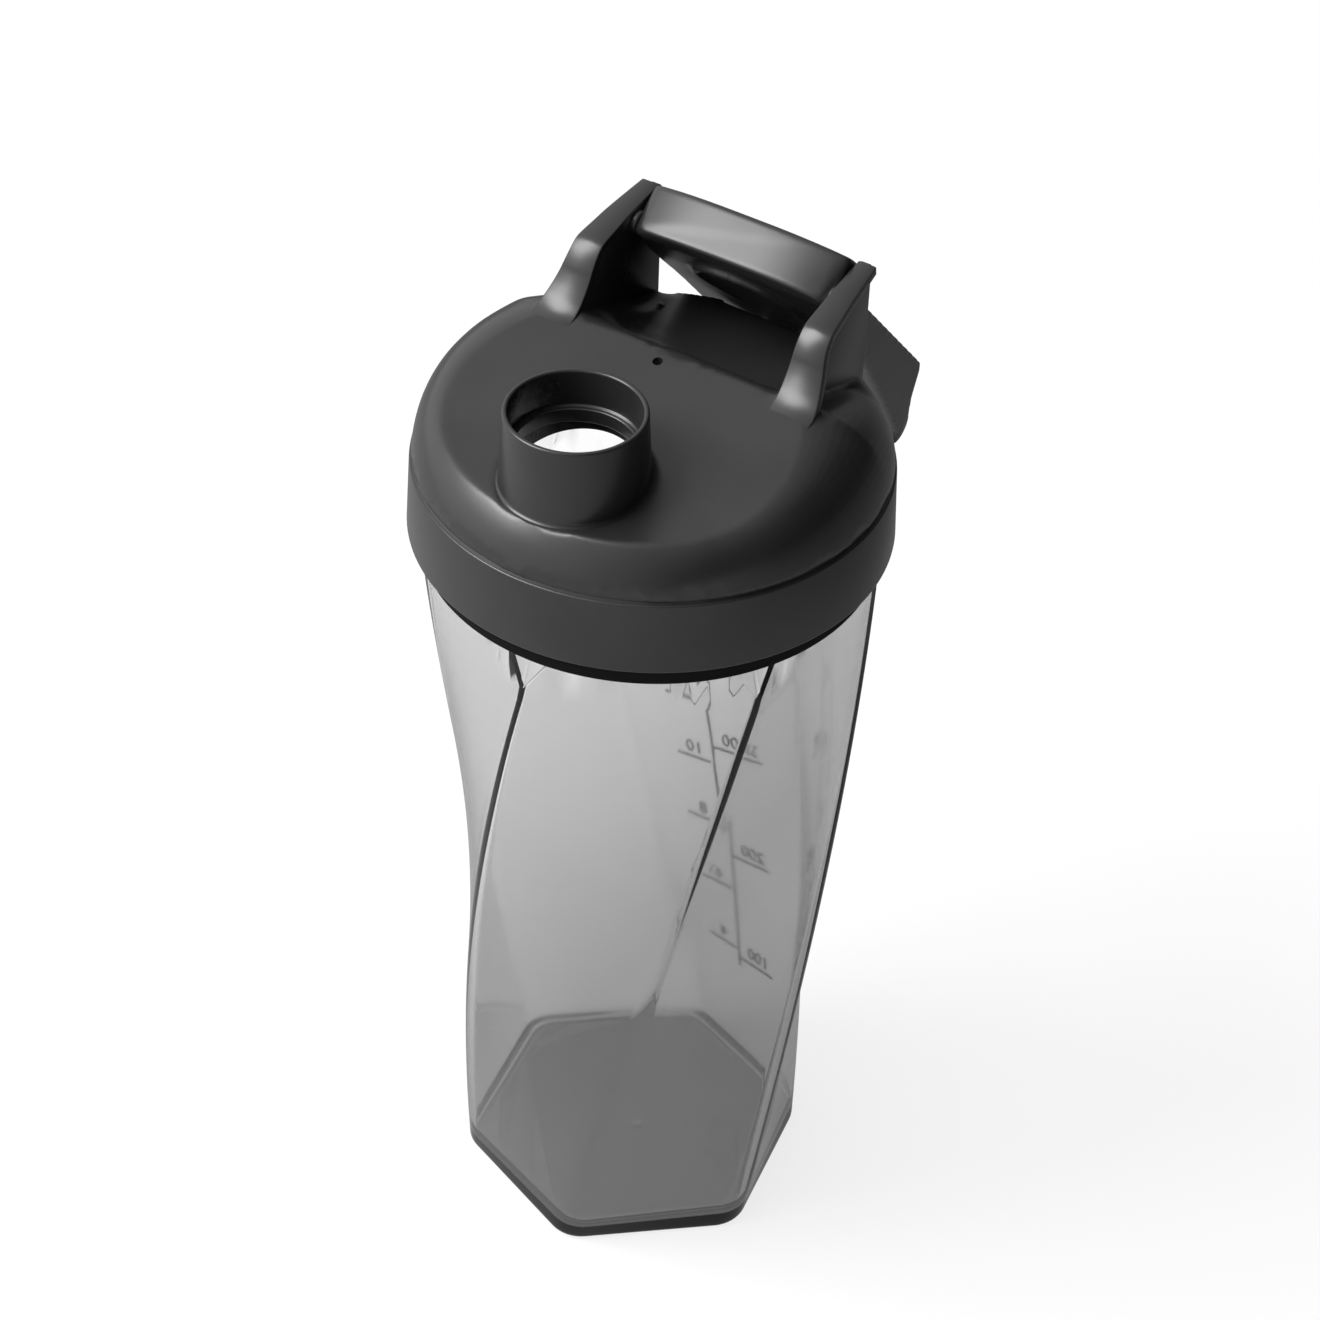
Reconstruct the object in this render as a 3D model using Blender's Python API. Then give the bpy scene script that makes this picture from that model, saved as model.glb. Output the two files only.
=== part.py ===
# Protein shaker bottle: twisted hexagonal bottle, screw lid with round spout, flip cap on a hinge pin.
# Metres, +Z up, origin on the table at the middle of the base, spout towards -Y, hinge axis along X.

import math

import bmesh
import bpy
from mathutils import Matrix, Vector

MM = 0.001

# Clearances
TOUCH_GAP = 0.3 * MM        # between pieces that seat on each other
PIN_GAP = 0.3 * MM          # around the hinge pin
THREAD_ROOM = 2.2 * MM      # neck to lid skirt, room for the screw thread
FIN_SIDE_GAP = 1.8 * MM     # cap tail to each fin

# Bottle
BASE_CORNER_RADIUS = 37.8 * MM
SHOULDER_CORNER_RADIUS = 44.7 * MM
SHOULDER_HEIGHT = 160.6 * MM
TWIST = math.radians(50.3)
SHOULDER_CORNER_ANGLE = math.radians(-88.7)
SHOULDER_CORNER_ROUND = 2.2 * MM
BASE_CORNER_ROUND = 8.0 * MM
BOTTLE_WALL = 2.3 * MM
BOTTLE_FLOOR = 4.0 * MM
BASE_EDGE_ROUND = 1.6 * MM
CHAMFER_RISE = 10.9 * MM
LEDGE_RISE = 2.2 * MM
NECK_RADIUS = 41.0 * MM
NECK_LENGTH = 13.0 * MM
NECK_LIP_ROUND = 0.8 * MM

# Lid shell
LID_WALL = 3.8 * MM
LID_ROOF = 2.8 * MM
SKIRT_DEPTH = 13.8 * MM     # seat face down to the rim
BAND_HEIGHT = 15.8 * MM     # rim up to the crease line
BAND_DRAFT = 1.0 * MM
CREASE_DEPTH = 0.5 * MM
CREASE_HALF_WIDTH = 0.5 * MM
RIM_ROUND = 0.9 * MM
SWEEP_RISE = 9.0 * MM       # crease up to the front of the top face
SWEEP_START_Y = -40.0 * MM  # the top face is level here and rises towards the hinge
SWEEP_BEND = 20.0 * MM      # length over which its slope builds up
SWEEP_SLOPE = 0.24
SWEEP_PEAK_Y = 7.5 * MM     # behind this it falls to the back
SWEEP_BACK_Y = 28.0 * MM
SWEEP_FALL = 0.44
# Radius of the ridge round the top face, every 15 degrees from the spout side to the back
RIDGE = [value * MM for value in (40.4, 40.4, 40.6, 40.6, 39.2, 36.0, 32.0,
                                  28.8, 31.7, 38.0, 40.6, 41.0, 41.0)]
NARROW_ANGLE = 105          # where the ridge comes closest to the middle
SHOULDER_ROWS = 7
SHOULDER_FULLNESS = 0.6 * MM    # its widest part stays this close under the crease radius
SHOULDER_DROP = (0.42, 0.12)    # where it turns, below the ridge: at front and back, at the sides
ROOF_RISE = 4.5 * MM        # seat face up to the flat part of the ceiling
HOLLOW_BACK_Y = 7.4 * MM    # the ceiling is flat behind this
HOLLOW_WALL = 5.0 * MM      # ridge to the hollow under the top face
GASKET_THICKNESS = 1.9 * MM
GASKET_WIDTH = 3.2 * MM
SEAT_LIP = 1.0 * MM         # seat face reaches this far inside the gasket

# Spout and vent
SPOUT_OFFSET = 26.3 * MM
SPOUT_RADIUS = 13.4 * MM
SPOUT_RISE = 15.8 * MM      # above the front of the top face
SPOUT_DRAFT = 0.6 * MM
SPOUT_WALL = 1.1 * MM
LEDGE_DEPTH = 7.8 * MM
LEDGE_THICKNESS = 3.0 * MM
LEDGE_HOLE_RADIUS = 10.4 * MM
VENT_X = -2.4 * MM
VENT_Y = 4.2 * MM
VENT_RADIUS = 1.0 * MM
VALVE_RADIUS = 2.3 * MM
VALVE_FLANGE = 1.0 * MM
VALVE_LENGTH = 4.4 * MM
VALVE_TIP_WIDTH = 0.8 * MM
VALVE_RECESS = 0.9 * MM

# Fins and pocket behind the spout
FIN_THICKNESS = 4.5 * MM
FIN_BACK_THICKNESS = 2.7 * MM
FIN_ROOT_DEPTH = 5.8 * MM   # fins start this far under the front of the top face
FIN_ROOT_Y = 9.0 * MM
# Front edge of the fins: y, height above the front of the top face
FIN_FRONT = [(y * MM, rise * MM) for y, rise in (
    (4.5, 8.1), (7.0, 10.0), (9.0, 12.3), (10.6, 14.7),
    (11.8, 16.9), (14.6, 20.6), (23.1, 22.7), (33.0, 24.4))]
FIN_BEND_RISE = 20.6 * MM   # the fins get thinner above this
FIN_BACK_Y = 35.0 * MM
FIN_EDGE_ROUND = 0.7 * MM
# Pocket: y, floor above the front of the top face, half width, round between floor and side
POCKET = [[value * MM for value in row] for row in (
    (6.4, 9.2, 17.0, 5.0), (8.6, 7.8, 20.8, 5.0), (10.0, 5.0, 22.0, 6.0), (13.0, 2.6, 23.0, 8.0),
    (20.0, -0.4, 23.0, 8.4), (38.0, -0.9, 23.0, 3.4), (41.0, -2.4, 23.0, 3.0), (48.5, -11.6, 23.0, 3.0))]

# Hinge and flip cap, cap sizes measured from the hinge axis with the cap closed
HINGE_Y = 26.6 * MM
HINGE_RISE = 19.8 * MM      # above the front of the top face
PIN_RADIUS = 1.5 * MM
PIN_SEAT_DEPTH = 2.6 * MM
OPEN_ANGLE = math.radians(225)
TAIL_TOP = 3.0 * MM
TAIL_BACK = 3.6 * MM
TAIL_DROP = 8.2 * MM
TAIL_FRONT = 7.0 * MM
TAIL_RAMP = 6.0 * MM
CAP_LIFT = 9.0 * MM
CAP_LIFT_POWER = 1.6
CAP_SEAT_GAP = 0.8 * MM                  # spout rim to cap rim
CAP_NOSE = 15.3 * MM                     # lip reaches this far past the spout
CAP_NOSE_HALF_WIDTH = 14.0 * MM
CAP_TAPER_START = 13.0 * MM
CAP_LIP_RISE = 2.0 * MM
CAP_CHIN = 13.4 * MM                     # lip back to the rim's front end
CAP_EDGE_ROUND = 1.4 * MM
CAP_SKIN = 2.4 * MM
TAIL_END_ROUND = 1.8 * MM
TAIL_EDGE_DROP = 1.3 * MM                # upper rear edge falls away by this
PLUG_RADIUS = 10.5 * MM
PLUG_WALL = 1.8 * MM
PLUG_DEPTH = 1.6 * MM                    # below the spout rim
PLUG_EDGE = 0.5 * MM
BOSS_RADIUS = 14.0 * MM                  # backs the seal
SEAL_THICKNESS = 2.2 * MM
SEAL_EDGE = 0.4 * MM
GRIP_RING_RADIUS = 11.6 * MM
GRIP_RING_WIDTH = 1.6 * MM
GRIP_RING_RISE = 0.8 * MM
GRIP_RING_FORWARD = 11.0 * MM

# Facets
ROUND_STEPS = 72
SMALL_ROUND_STEPS = 40
CORNER_STEPS = 3
PANEL_STEPS = 6
BODY_ROWS = 12
ARC_STEPS = 4

# Heights that follow from the sizes above
NECK_ROOT = SHOULDER_HEIGHT + CHAMFER_RISE
NECK_TOP = NECK_ROOT + NECK_LENGTH
SEAT_Z = NECK_TOP + GASKET_THICKNESS + 2 * TOUCH_GAP
RIM_Z = SEAT_Z - SKIRT_DEPTH
CREASE_Z = RIM_Z + BAND_HEIGHT
TOP_Z = CREASE_Z + SWEEP_RISE
SKIRT_RADIUS = NECK_RADIUS + THREAD_ROOM
RIM_RADIUS = SKIRT_RADIUS + LID_WALL
CREASE_RADIUS = RIM_RADIUS - BAND_DRAFT
ROOF_Z = SEAT_Z + ROOF_RISE
GASKET_INNER = NECK_RADIUS - BOTTLE_WALL + TOUCH_GAP
GASKET_OUTER = GASKET_INNER + GASKET_WIDTH
SEAT_INNER = GASKET_INNER - SEAT_LIP
SPOUT_TOP = TOP_Z + SPOUT_RISE
SPOUT_BORE = SPOUT_RADIUS - SPOUT_WALL
HINGE_Z = TOP_Z + HINGE_RISE
FIN_INNER_X = POCKET[-1][2]
FIN_OUTER_X = FIN_INNER_X + FIN_THICKNESS
TAIL_HALF_WIDTH = FIN_INNER_X - FIN_SIDE_GAP
CAP_RIM = SPOUT_TOP + CAP_SEAT_GAP - HINGE_Z
PLUG_FORWARD = HINGE_Y + SPOUT_OFFSET
CAP_LENGTH = PLUG_FORWARD + SPOUT_RADIUS + CAP_NOSE
PLUG_BOTTOM = SPOUT_TOP - PLUG_DEPTH - HINGE_Z
SEAL_LOW = SPOUT_TOP + TOUCH_GAP - HINGE_Z
SEAL_HIGH = SEAL_LOW + SEAL_THICKNESS
HINGE = Vector((0, HINGE_Y, HINGE_Z))


def clear_scene():
    for item in list(bpy.data.objects):
        bpy.data.objects.remove(item, do_unlink=True)


def plastic(name, colour, roughness, alpha=1.0, transmission=0.0):
    material = bpy.data.materials.new(name)
    material.use_nodes = True
    shader = material.node_tree.nodes["Principled BSDF"]
    shader.inputs["Base Color"].default_value = (*colour, 1.0)
    shader.inputs["Roughness"].default_value = roughness
    shader.inputs["Metallic"].default_value = 0.0
    shader.inputs["Alpha"].default_value = alpha
    shader.inputs["Transmission Weight"].default_value = transmission
    return material


def steel(name):
    material = plastic(name, (0.62, 0.62, 0.63), 0.28)
    material.node_tree.nodes["Principled BSDF"].inputs["Metallic"].default_value = 1.0
    return material


def finish_mesh(bm, name, material=None, smooth_angle=math.radians(32)):
    """Close the bmesh into an object, faces outwards, round stretches smooth."""
    bmesh.ops.remove_doubles(bm, verts=bm.verts, dist=1e-7)
    bmesh.ops.recalc_face_normals(bm, faces=bm.faces)
    mesh = bpy.data.meshes.new(name)
    bm.to_mesh(mesh)
    bm.free()
    mesh.shade_smooth()
    mesh.set_sharp_from_angle(angle=smooth_angle)
    piece = bpy.data.objects.new(name, mesh)
    bpy.context.scene.collection.objects.link(piece)
    if material:
        mesh.materials.append(material)
    return piece


def loft(rings, closed_ends=True):
    """Skin a list of rings, each with the same number of points, into a bmesh."""
    bm = bmesh.new()
    loops = [[bm.verts.new(point) for point in ring] for ring in rings]
    count = len(loops[0])
    for lower, upper in zip(loops, loops[1:]):
        for i in range(count):
            j = (i + 1) % count
            bm.faces.new((lower[i], lower[j], upper[j], upper[i]))
    if closed_ends:
        bm.faces.new(loops[0])
        bm.faces.new(loops[-1])
    return bm


def revolve(profile, steps, centre=(0, 0)):
    """Turn a profile of (radius, z) points about a vertical axis; it closes on itself or on the axis."""
    bm = bmesh.new()
    verts = [bm.verts.new((radius, 0, z)) for radius, z in profile]
    edges = [bm.edges.new(pair) for pair in zip(verts, verts[1:])]
    if profile[0][0] > 0:
        edges.append(bm.edges.new((verts[-1], verts[0])))
    bmesh.ops.spin(bm, geom=verts + edges, cent=(0, 0, 0), axis=(0, 0, 1),
                   angle=math.tau, steps=steps, use_merge=True)
    bmesh.ops.remove_doubles(bm, verts=bm.verts, dist=1e-7)
    bmesh.ops.translate(bm, verts=bm.verts, vec=(centre[0], centre[1], 0))
    return bm


def arc(centre, radius, start, end, steps=ARC_STEPS):
    """Points of an arc in a profile, angles in degrees."""
    points = []
    for i in range(steps + 1):
        angle = math.radians(start + (end - start) * i / steps)
        points.append((centre[0] + radius * math.cos(angle), centre[1] + radius * math.sin(angle)))
    return points


def as_tool(piece):
    piece.hide_render = True
    piece.display_type = "WIRE"
    return piece


def boolean(piece, tool, operation):
    modifier = piece.modifiers.new(operation.lower() + "_" + tool.name, "BOOLEAN")
    modifier.operation = operation
    modifier.object = as_tool(tool)
    modifier.solver = "EXACT"


def soften(piece, width, segments=2, angle=math.radians(40)):
    modifier = piece.modifiers.new("soft_edges", "BEVEL")
    modifier.width = width
    modifier.segments = segments
    modifier.limit_method = "ANGLE"
    modifier.angle_limit = angle


# Bottle

def hexagon(corner_radius, corner_round):
    """Points of a hexagon with rounded corners, first corner at angle zero."""
    points = []
    reach = corner_radius - corner_round / math.cos(math.radians(30))
    for corner in range(6):
        middle = math.radians(60 * corner)
        centre = Vector((reach * math.cos(middle), reach * math.sin(middle)))
        for step in range(CORNER_STEPS):
            turn = middle + math.radians(-30 + 60 * step / (CORNER_STEPS - 1))
            points.append(centre + corner_round * Vector((math.cos(turn), math.sin(turn))))
        last = points[-1]
        after = math.radians(60 * (corner + 1))
        next_centre = Vector((reach * math.cos(after), reach * math.sin(after)))
        first = next_centre + corner_round * Vector((math.cos(after - math.radians(30)),
                                                     math.sin(after - math.radians(30))))
        points.extend(last.lerp(first, step / PANEL_STEPS) for step in range(1, PANEL_STEPS))
    return points


def corner_radius_at(z, inset):
    """Corner radius of the hexagon at a height, its flats moved in by inset."""
    share = min(z / SHOULDER_HEIGHT, 1.0)
    radius = BASE_CORNER_RADIUS + share * (SHOULDER_CORNER_RADIUS - BASE_CORNER_RADIUS)
    return radius - inset / math.cos(math.radians(30))


def body_ring(z, inset, height=None):
    """One ring of the twisted body; height places it elsewhere, for floors and edges."""
    share = min(z / SHOULDER_HEIGHT, 1.0)
    turn = SHOULDER_CORNER_ANGLE - TWIST * (1.0 - share)
    spin = Matrix.Rotation(turn, 2)
    level = z if height is None else height
    corner_round = BASE_CORNER_ROUND + share * (SHOULDER_CORNER_ROUND - BASE_CORNER_ROUND)
    corner_round = max(corner_round - inset, 0.4 * corner_round)
    return [(*(spin @ point), level) for point in hexagon(corner_radius_at(z, inset), corner_round)]


def chamfer_ring(inset):
    """Where the flats end under the neck: low at the corners, high in the middle of each flat."""
    neck = NECK_RADIUS - inset
    corner = corner_radius_at(SHOULDER_HEIGHT, inset)
    ring = []
    for x, y, _ in body_ring(SHOULDER_HEIGHT, inset):
        excess = (math.hypot(x, y) - neck) / (corner - neck)
        drop = max(LEDGE_RISE, excess * CHAMFER_RISE)
        ring.append((x, y, NECK_ROOT - drop))
    return ring


def neck_ring(radius, z):
    ring = []
    for x, y, _ in body_ring(SHOULDER_HEIGHT, 0.0):
        scale = radius / math.hypot(x, y)
        ring.append((x * scale, y * scale, z))
    return ring


def make_bottle(material):
    rings = [body_ring(0.0, BASE_EDGE_ROUND)]
    rings += [body_ring(BASE_EDGE_ROUND * 0.3, BASE_EDGE_ROUND * 0.3),
              body_ring(BASE_EDGE_ROUND, 0.0)]
    rings += [body_ring(SHOULDER_HEIGHT * row / BODY_ROWS, 0.0) for row in range(1, BODY_ROWS)]
    rings += [chamfer_ring(0.0), neck_ring(NECK_RADIUS, NECK_ROOT)]
    rings += [neck_ring(NECK_RADIUS, NECK_TOP - NECK_LIP_ROUND),
              neck_ring(NECK_RADIUS - NECK_LIP_ROUND, NECK_TOP)]
    inner_neck = NECK_RADIUS - BOTTLE_WALL
    rings += [neck_ring(inner_neck, NECK_TOP), neck_ring(inner_neck, NECK_ROOT)]
    rings += [chamfer_ring(BOTTLE_WALL)]
    rings += [body_ring(SHOULDER_HEIGHT * row / BODY_ROWS, BOTTLE_WALL)
              for row in range(BODY_ROWS - 1, 0, -1)]
    floor_round = BASE_EDGE_ROUND
    rings += [body_ring(BOTTLE_FLOOR + floor_round, BOTTLE_WALL),
              body_ring(BOTTLE_FLOOR + floor_round * 0.3, BOTTLE_WALL + floor_round * 0.3),
              body_ring(BOTTLE_FLOOR, BOTTLE_WALL + floor_round)]
    return finish_mesh(loft(rings), "bottle", material, math.radians(24))


# Lid

def top_z(y):
    """Height of the sloping top face."""
    run = min(y, SWEEP_PEAK_Y) - SWEEP_START_Y
    fall = SWEEP_FALL * max(min(y, SWEEP_BACK_Y) - SWEEP_PEAK_Y, 0.0)
    if run <= 0:
        return TOP_Z
    if run <= SWEEP_BEND:
        return TOP_Z + 0.5 * SWEEP_SLOPE * run * run / SWEEP_BEND
    return TOP_Z + SWEEP_SLOPE * (run - 0.5 * SWEEP_BEND) - fall


def valve_top():
    return top_z(VENT_Y) - LID_ROOF + VALVE_RECESS


def ridge_radius(angle):
    """Smooth curve through the ridge radii; angle from the spout side, 0 to 180 degrees."""
    last = len(RIDGE) - 1
    place = angle / 180 * last
    low = min(int(place), last - 1)
    t = place - low
    a, b, c, d = [RIDGE[last - abs(last - abs(low + step))] for step in (-1, 0, 1, 2)]
    return b + 0.5 * t * (c - a + t * (2 * a - 5 * b + 4 * c - d + t * (3 * (b - c) + d - a)))


def lid_ring(place):
    """Ring of points round the lid; place gives radius and height for an angle from the spout side."""
    ring = []
    for step in range(ROUND_STEPS):
        angle = 360 * step / ROUND_STEPS
        radius, z = place(min(angle, 360 - angle))
        turn = math.radians(angle)
        ring.append((radius * math.sin(turn), -radius * math.cos(turn), z))
    return ring


def shoulder(angle, share):
    """Point on the shoulder between the crease and the ridge."""
    radius = ridge_radius(angle)
    turn = math.cos(math.radians(angle))
    ridge = Vector((radius, top_z(-radius * turn)))
    foot = Vector((CREASE_RADIUS - CREASE_DEPTH * 0.2, CREASE_Z + CREASE_HALF_WIDTH))
    drop = SHOULDER_DROP[1] + (SHOULDER_DROP[0] - SHOULDER_DROP[1]) * turn * turn
    full = Vector((CREASE_RADIUS - SHOULDER_FULLNESS, ridge.y - drop * (ridge.y - CREASE_Z)))
    return (1 - share) ** 2 * foot + 2 * share * (1 - share) * full + share ** 2 * ridge


def bridge_top(bm, ring):
    """Close a ring round the lid with strips from side to side."""
    verts = [bm.verts.new(point) for point in ring]
    half = len(verts) // 2
    bm.faces.new((verts[0], verts[1], verts[-1]))
    for step in range(1, half - 1):
        bm.faces.new((verts[step], verts[step + 1], verts[-step - 1], verts[-step]))
    bm.faces.new((verts[half - 1], verts[half], verts[half + 1]))


def make_lid_shell(material):
    """Skirt, band, crease, shoulder and sloping top face."""
    crease_low = (CREASE_RADIUS + BAND_DRAFT * CREASE_HALF_WIDTH / BAND_HEIGHT, CREASE_Z - CREASE_HALF_WIDTH)
    outline = [(SEAT_INNER, ROOF_Z), (SEAT_INNER, SEAT_Z), (SKIRT_RADIUS, SEAT_Z), (SKIRT_RADIUS, RIM_Z)]
    outline += arc((RIM_RADIUS - RIM_ROUND, RIM_Z + RIM_ROUND), RIM_ROUND, -90, 0, 3)
    outline += [crease_low, (CREASE_RADIUS - CREASE_DEPTH, CREASE_Z)]
    rings = [lid_ring(lambda angle, point=point: point) for point in outline]
    for row in range(SHOULDER_ROWS + 1):
        rings.append(lid_ring(lambda angle, row=row: shoulder(angle, row / SHOULDER_ROWS)))
    bm = loft(rings, closed_ends=False)
    bm.faces.new([bm.verts.new(point) for point in rings[0]])
    bridge_top(bm, rings[-1])
    return finish_mesh(bm, "lid", material)


def make_front_hollow():
    """Room under the sloping top face, in front of the pocket."""
    low = ROOF_Z - LID_ROOF
    line = [SWEEP_START_Y + SWEEP_BEND * step / 4 for step in range(5)] + [HOLLOW_BACK_Y]
    outline = [(y, top_z(y) - LID_ROOF) for y in line] + [(HOLLOW_BACK_Y, low), (SWEEP_START_Y, low)]
    rings = [[(x, y, z) for y, z in outline] for x in (-RIM_RADIUS, RIM_RADIUS)]
    hollow = finish_mesh(loft(rings), "front_hollow")
    limit = [lid_ring(lambda angle, z=z: (ridge_radius(min(angle, NARROW_ANGLE)) - HOLLOW_WALL, z))
             for z in (low - LID_ROOF, SPOUT_TOP)]
    boolean(hollow, finish_mesh(loft(limit), "front_hollow_limit"), "INTERSECT")
    return hollow


def make_spout():
    foot = SPOUT_RADIUS + SPOUT_DRAFT
    lip = SPOUT_WALL * 0.45
    low = TOP_Z - 0.9 * LID_ROOF
    outline = [(0.0, SPOUT_TOP)] + arc((SPOUT_RADIUS - lip, SPOUT_TOP - lip), lip, 90, 0, 3)
    outline += [(foot, low), (0.0, low)]
    return finish_mesh(revolve(outline, SMALL_ROUND_STEPS, (0, -SPOUT_OFFSET)), "spout_body")


def make_spout_bore():
    ledge = SPOUT_TOP - LEDGE_DEPTH
    under = ledge - LEDGE_THICKNESS
    over = SPOUT_TOP + LEDGE_DEPTH
    low = ROOF_Z - LEDGE_DEPTH
    outline = [(0.0, over), (SPOUT_BORE, over), (SPOUT_BORE, ledge), (LEDGE_HOLE_RADIUS, ledge),
               (LEDGE_HOLE_RADIUS, under), (SPOUT_BORE, under), (SPOUT_BORE, low), (0.0, low)]
    return finish_mesh(revolve(outline, SMALL_ROUND_STEPS, (0, -SPOUT_OFFSET)), "spout_bore")


def make_fin(side):
    """One upright fin; its inner face is left long and is cut by the pocket."""
    inner = side * (FIN_INNER_X - FIN_THICKNESS)
    back = side * (FIN_INNER_X + FIN_BACK_THICKNESS)
    stations = [(FIN_ROOT_Y, -FIN_ROOT_DEPTH), (FIN_ROOT_Y, FIN_FRONT[0][1] - FIN_ROOT_DEPTH * 0.1)]
    rings = []
    for front, rise in stations + FIN_FRONT:
        lean = max(rise - FIN_BEND_RISE, 0.0) / (FIN_FRONT[-1][1] - FIN_BEND_RISE)
        outer = side * (FIN_OUTER_X - lean * (FIN_THICKNESS - FIN_BACK_THICKNESS))
        z = TOP_Z + rise
        rings.append([(inner, front, z), (outer, front, z), (back, FIN_BACK_Y, z), (inner, FIN_BACK_Y, z)])
    fin = finish_mesh(loft(rings), "fin_right" if side > 0 else "fin_left")
    soften(fin, FIN_EDGE_ROUND)
    return fin


def make_pocket():
    """The hollow between the fins that takes the opened cap."""
    ceiling = TOP_Z + 1.3 * FIN_FRONT[-1][1]
    rings = []
    for y, rise, half, corner in POCKET:
        floor = TOP_Z + rise
        right = [(half - corner, floor), (half - 0.3 * corner, floor + 0.3 * corner), (half, floor + corner),
                 (half, ceiling)]
        left = [(-x, z) for x, z in reversed(right)]
        rings.append([(x, y, z) for x, z in right + left])
    return finish_mesh(loft(rings), "pocket")


def make_cylinder(name, radius, low, high, steps, centre=(0, 0)):
    outline = [(0.0, high), (radius, high), (radius, low), (0.0, low)]
    return finish_mesh(revolve(outline, steps, centre), name)


def make_pin_seat():
    half = FIN_INNER_X + PIN_SEAT_DEPTH
    return make_pin_rod("pin_seat", PIN_RADIUS + PIN_GAP, half, None)


def make_pin_rod(name, radius, half_length, material):
    bm = bmesh.new()
    bmesh.ops.create_cone(bm, cap_ends=True, segments=20, radius1=radius, radius2=radius,
                          depth=2 * half_length, matrix=Matrix.Rotation(math.radians(90), 4, "Y"))
    piece = finish_mesh(bm, name, material)
    piece.location = HINGE
    return piece


def make_lid(material):
    lid = make_lid_shell(material)
    for body in (make_spout(), make_fin(-1), make_fin(1)):
        boolean(lid, body, "UNION")
    recess = make_cylinder("valve_recess", VALVE_RADIUS + TOUCH_GAP, ROOF_Z, valve_top() + TOUCH_GAP, 24,
                           (VENT_X, VENT_Y))
    vent = make_cylinder("vent_hole", VENT_RADIUS, ROOF_Z, SPOUT_TOP, 16, (VENT_X, VENT_Y))
    for hollow in (make_front_hollow(), make_pocket(), make_spout_bore(), recess, vent, make_pin_seat()):
        boolean(lid, hollow, "DIFFERENCE")
    return lid


def make_gasket(material):
    low = NECK_TOP + TOUCH_GAP
    edge = GASKET_THICKNESS * 0.3
    inner = GASKET_INNER
    outer = GASKET_OUTER
    outline = [(inner + edge, low + GASKET_THICKNESS), (outer - edge, low + GASKET_THICKNESS),
               (outer, low + GASKET_THICKNESS - edge), (outer, low + edge), (outer - edge, low),
               (inner + edge, low), (inner, low + edge), (inner, low + GASKET_THICKNESS - edge)]
    return finish_mesh(revolve(outline, ROUND_STEPS), "lid_gasket", material)


def make_vent_valve(material):
    """Duckbill valve: a round flange under the vent and a bill that closes to a slit below."""
    top = valve_top()
    neck = VALVE_RADIUS * 0.68
    rings = []
    for radius_x, radius_y, z in ((VALVE_RADIUS, VALVE_RADIUS, top),
                                  (VALVE_RADIUS, VALVE_RADIUS, top - VALVE_FLANGE),
                                  (neck, neck, top - VALVE_FLANGE),
                                  (neck, neck, top - VALVE_FLANGE * 1.8),
                                  (neck, VALVE_TIP_WIDTH / 2, top - VALVE_LENGTH)):
        ring = []
        for step in range(24):
            angle = math.tau * step / 24
            ring.append((VENT_X + radius_x * math.cos(angle), VENT_Y + radius_y * math.sin(angle), z))
        rings.append(ring)
    return finish_mesh(loft(rings), "vent_valve", material)


# Flip cap, modelled closed: forward is the distance towards the spout, up is above the hinge axis

def cap_top(forward):
    share = min(max((forward + TAIL_BACK) / (CAP_LENGTH - 3.6 * MM + TAIL_BACK), 0.0), 1.0)
    return TAIL_TOP + CAP_LIFT * share ** CAP_LIFT_POWER


def cap_half_width(forward):
    share = max(forward - CAP_TAPER_START, 0.0) / (CAP_LENGTH - CAP_TAPER_START)
    return TAIL_HALF_WIDTH + share * (CAP_NOSE_HALF_WIDTH - TAIL_HALF_WIDTH)


def cap_section(forward, low, high, half, edge):
    """Cross section of the cap: flat underside, sides, rounded upper edges."""
    edge = min(edge, 0.45 * (high - low))
    right = [(half, low), (half, high - edge), (half - 0.3 * edge, high - 0.3 * edge), (half - edge, high)]
    left = [(-x, z) for x, z in reversed(right)]
    return [(x, -forward, z) for x, z in right + left]


def make_cap_shell():
    tail_rake = 1.4 * MM
    rear = -TAIL_BACK
    ramp_end = TAIL_FRONT + TAIL_RAMP
    chin = CAP_LENGTH - CAP_CHIN
    lip_top = cap_top(CAP_LENGTH) + CAP_LIP_RISE
    rings = []
    for behind, narrow in ((0.0, 1.0), (0.3, 0.3), (1.0, 0.0)):
        at = rear + behind * TAIL_END_ROUND
        high = cap_top(at) - (1.0 - 0.6 * behind) * TAIL_EDGE_DROP
        ring = cap_section(at, -TAIL_DROP, high, TAIL_HALF_WIDTH - narrow * TAIL_END_ROUND, CAP_EDGE_ROUND)
        rings.append([(x, y - tail_rake * (1.0 - behind) if z <= -TAIL_DROP else y, z) for x, y, z in ring])
    stations = [(TAIL_FRONT, -TAIL_DROP), (ramp_end, CAP_RIM)]
    stations += [(ramp_end + (chin - ramp_end) * step / 6, CAP_RIM) for step in range(1, 7)]
    rings += [cap_section(at, low, cap_top(at), cap_half_width(at), CAP_EDGE_ROUND) for at, low in stations]
    nose = ((0.16, 0.10, 0.0, 1.0), (0.35, 0.40, 0.0, 1.0), (0.56, 0.55, 0.0, 1.0), (0.74, 0.64, 0.25, 0.985),
            (0.87, 0.73, 1.0, 0.93), (0.96, 0.82, 0.85, 0.84), (1.0, 0.92, 0.35, 0.72))
    for along, rise, lift, width in nose:
        at = chin + along * CAP_CHIN
        low = CAP_RIM + rise * (lip_top - CAP_RIM)
        high = cap_top(at) + lift * CAP_LIP_RISE
        rings.append(cap_section(at, low, high, cap_half_width(at) * width, CAP_EDGE_ROUND))
    return finish_mesh(loft(rings), "flip_cap", None, math.radians(28))


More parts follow.
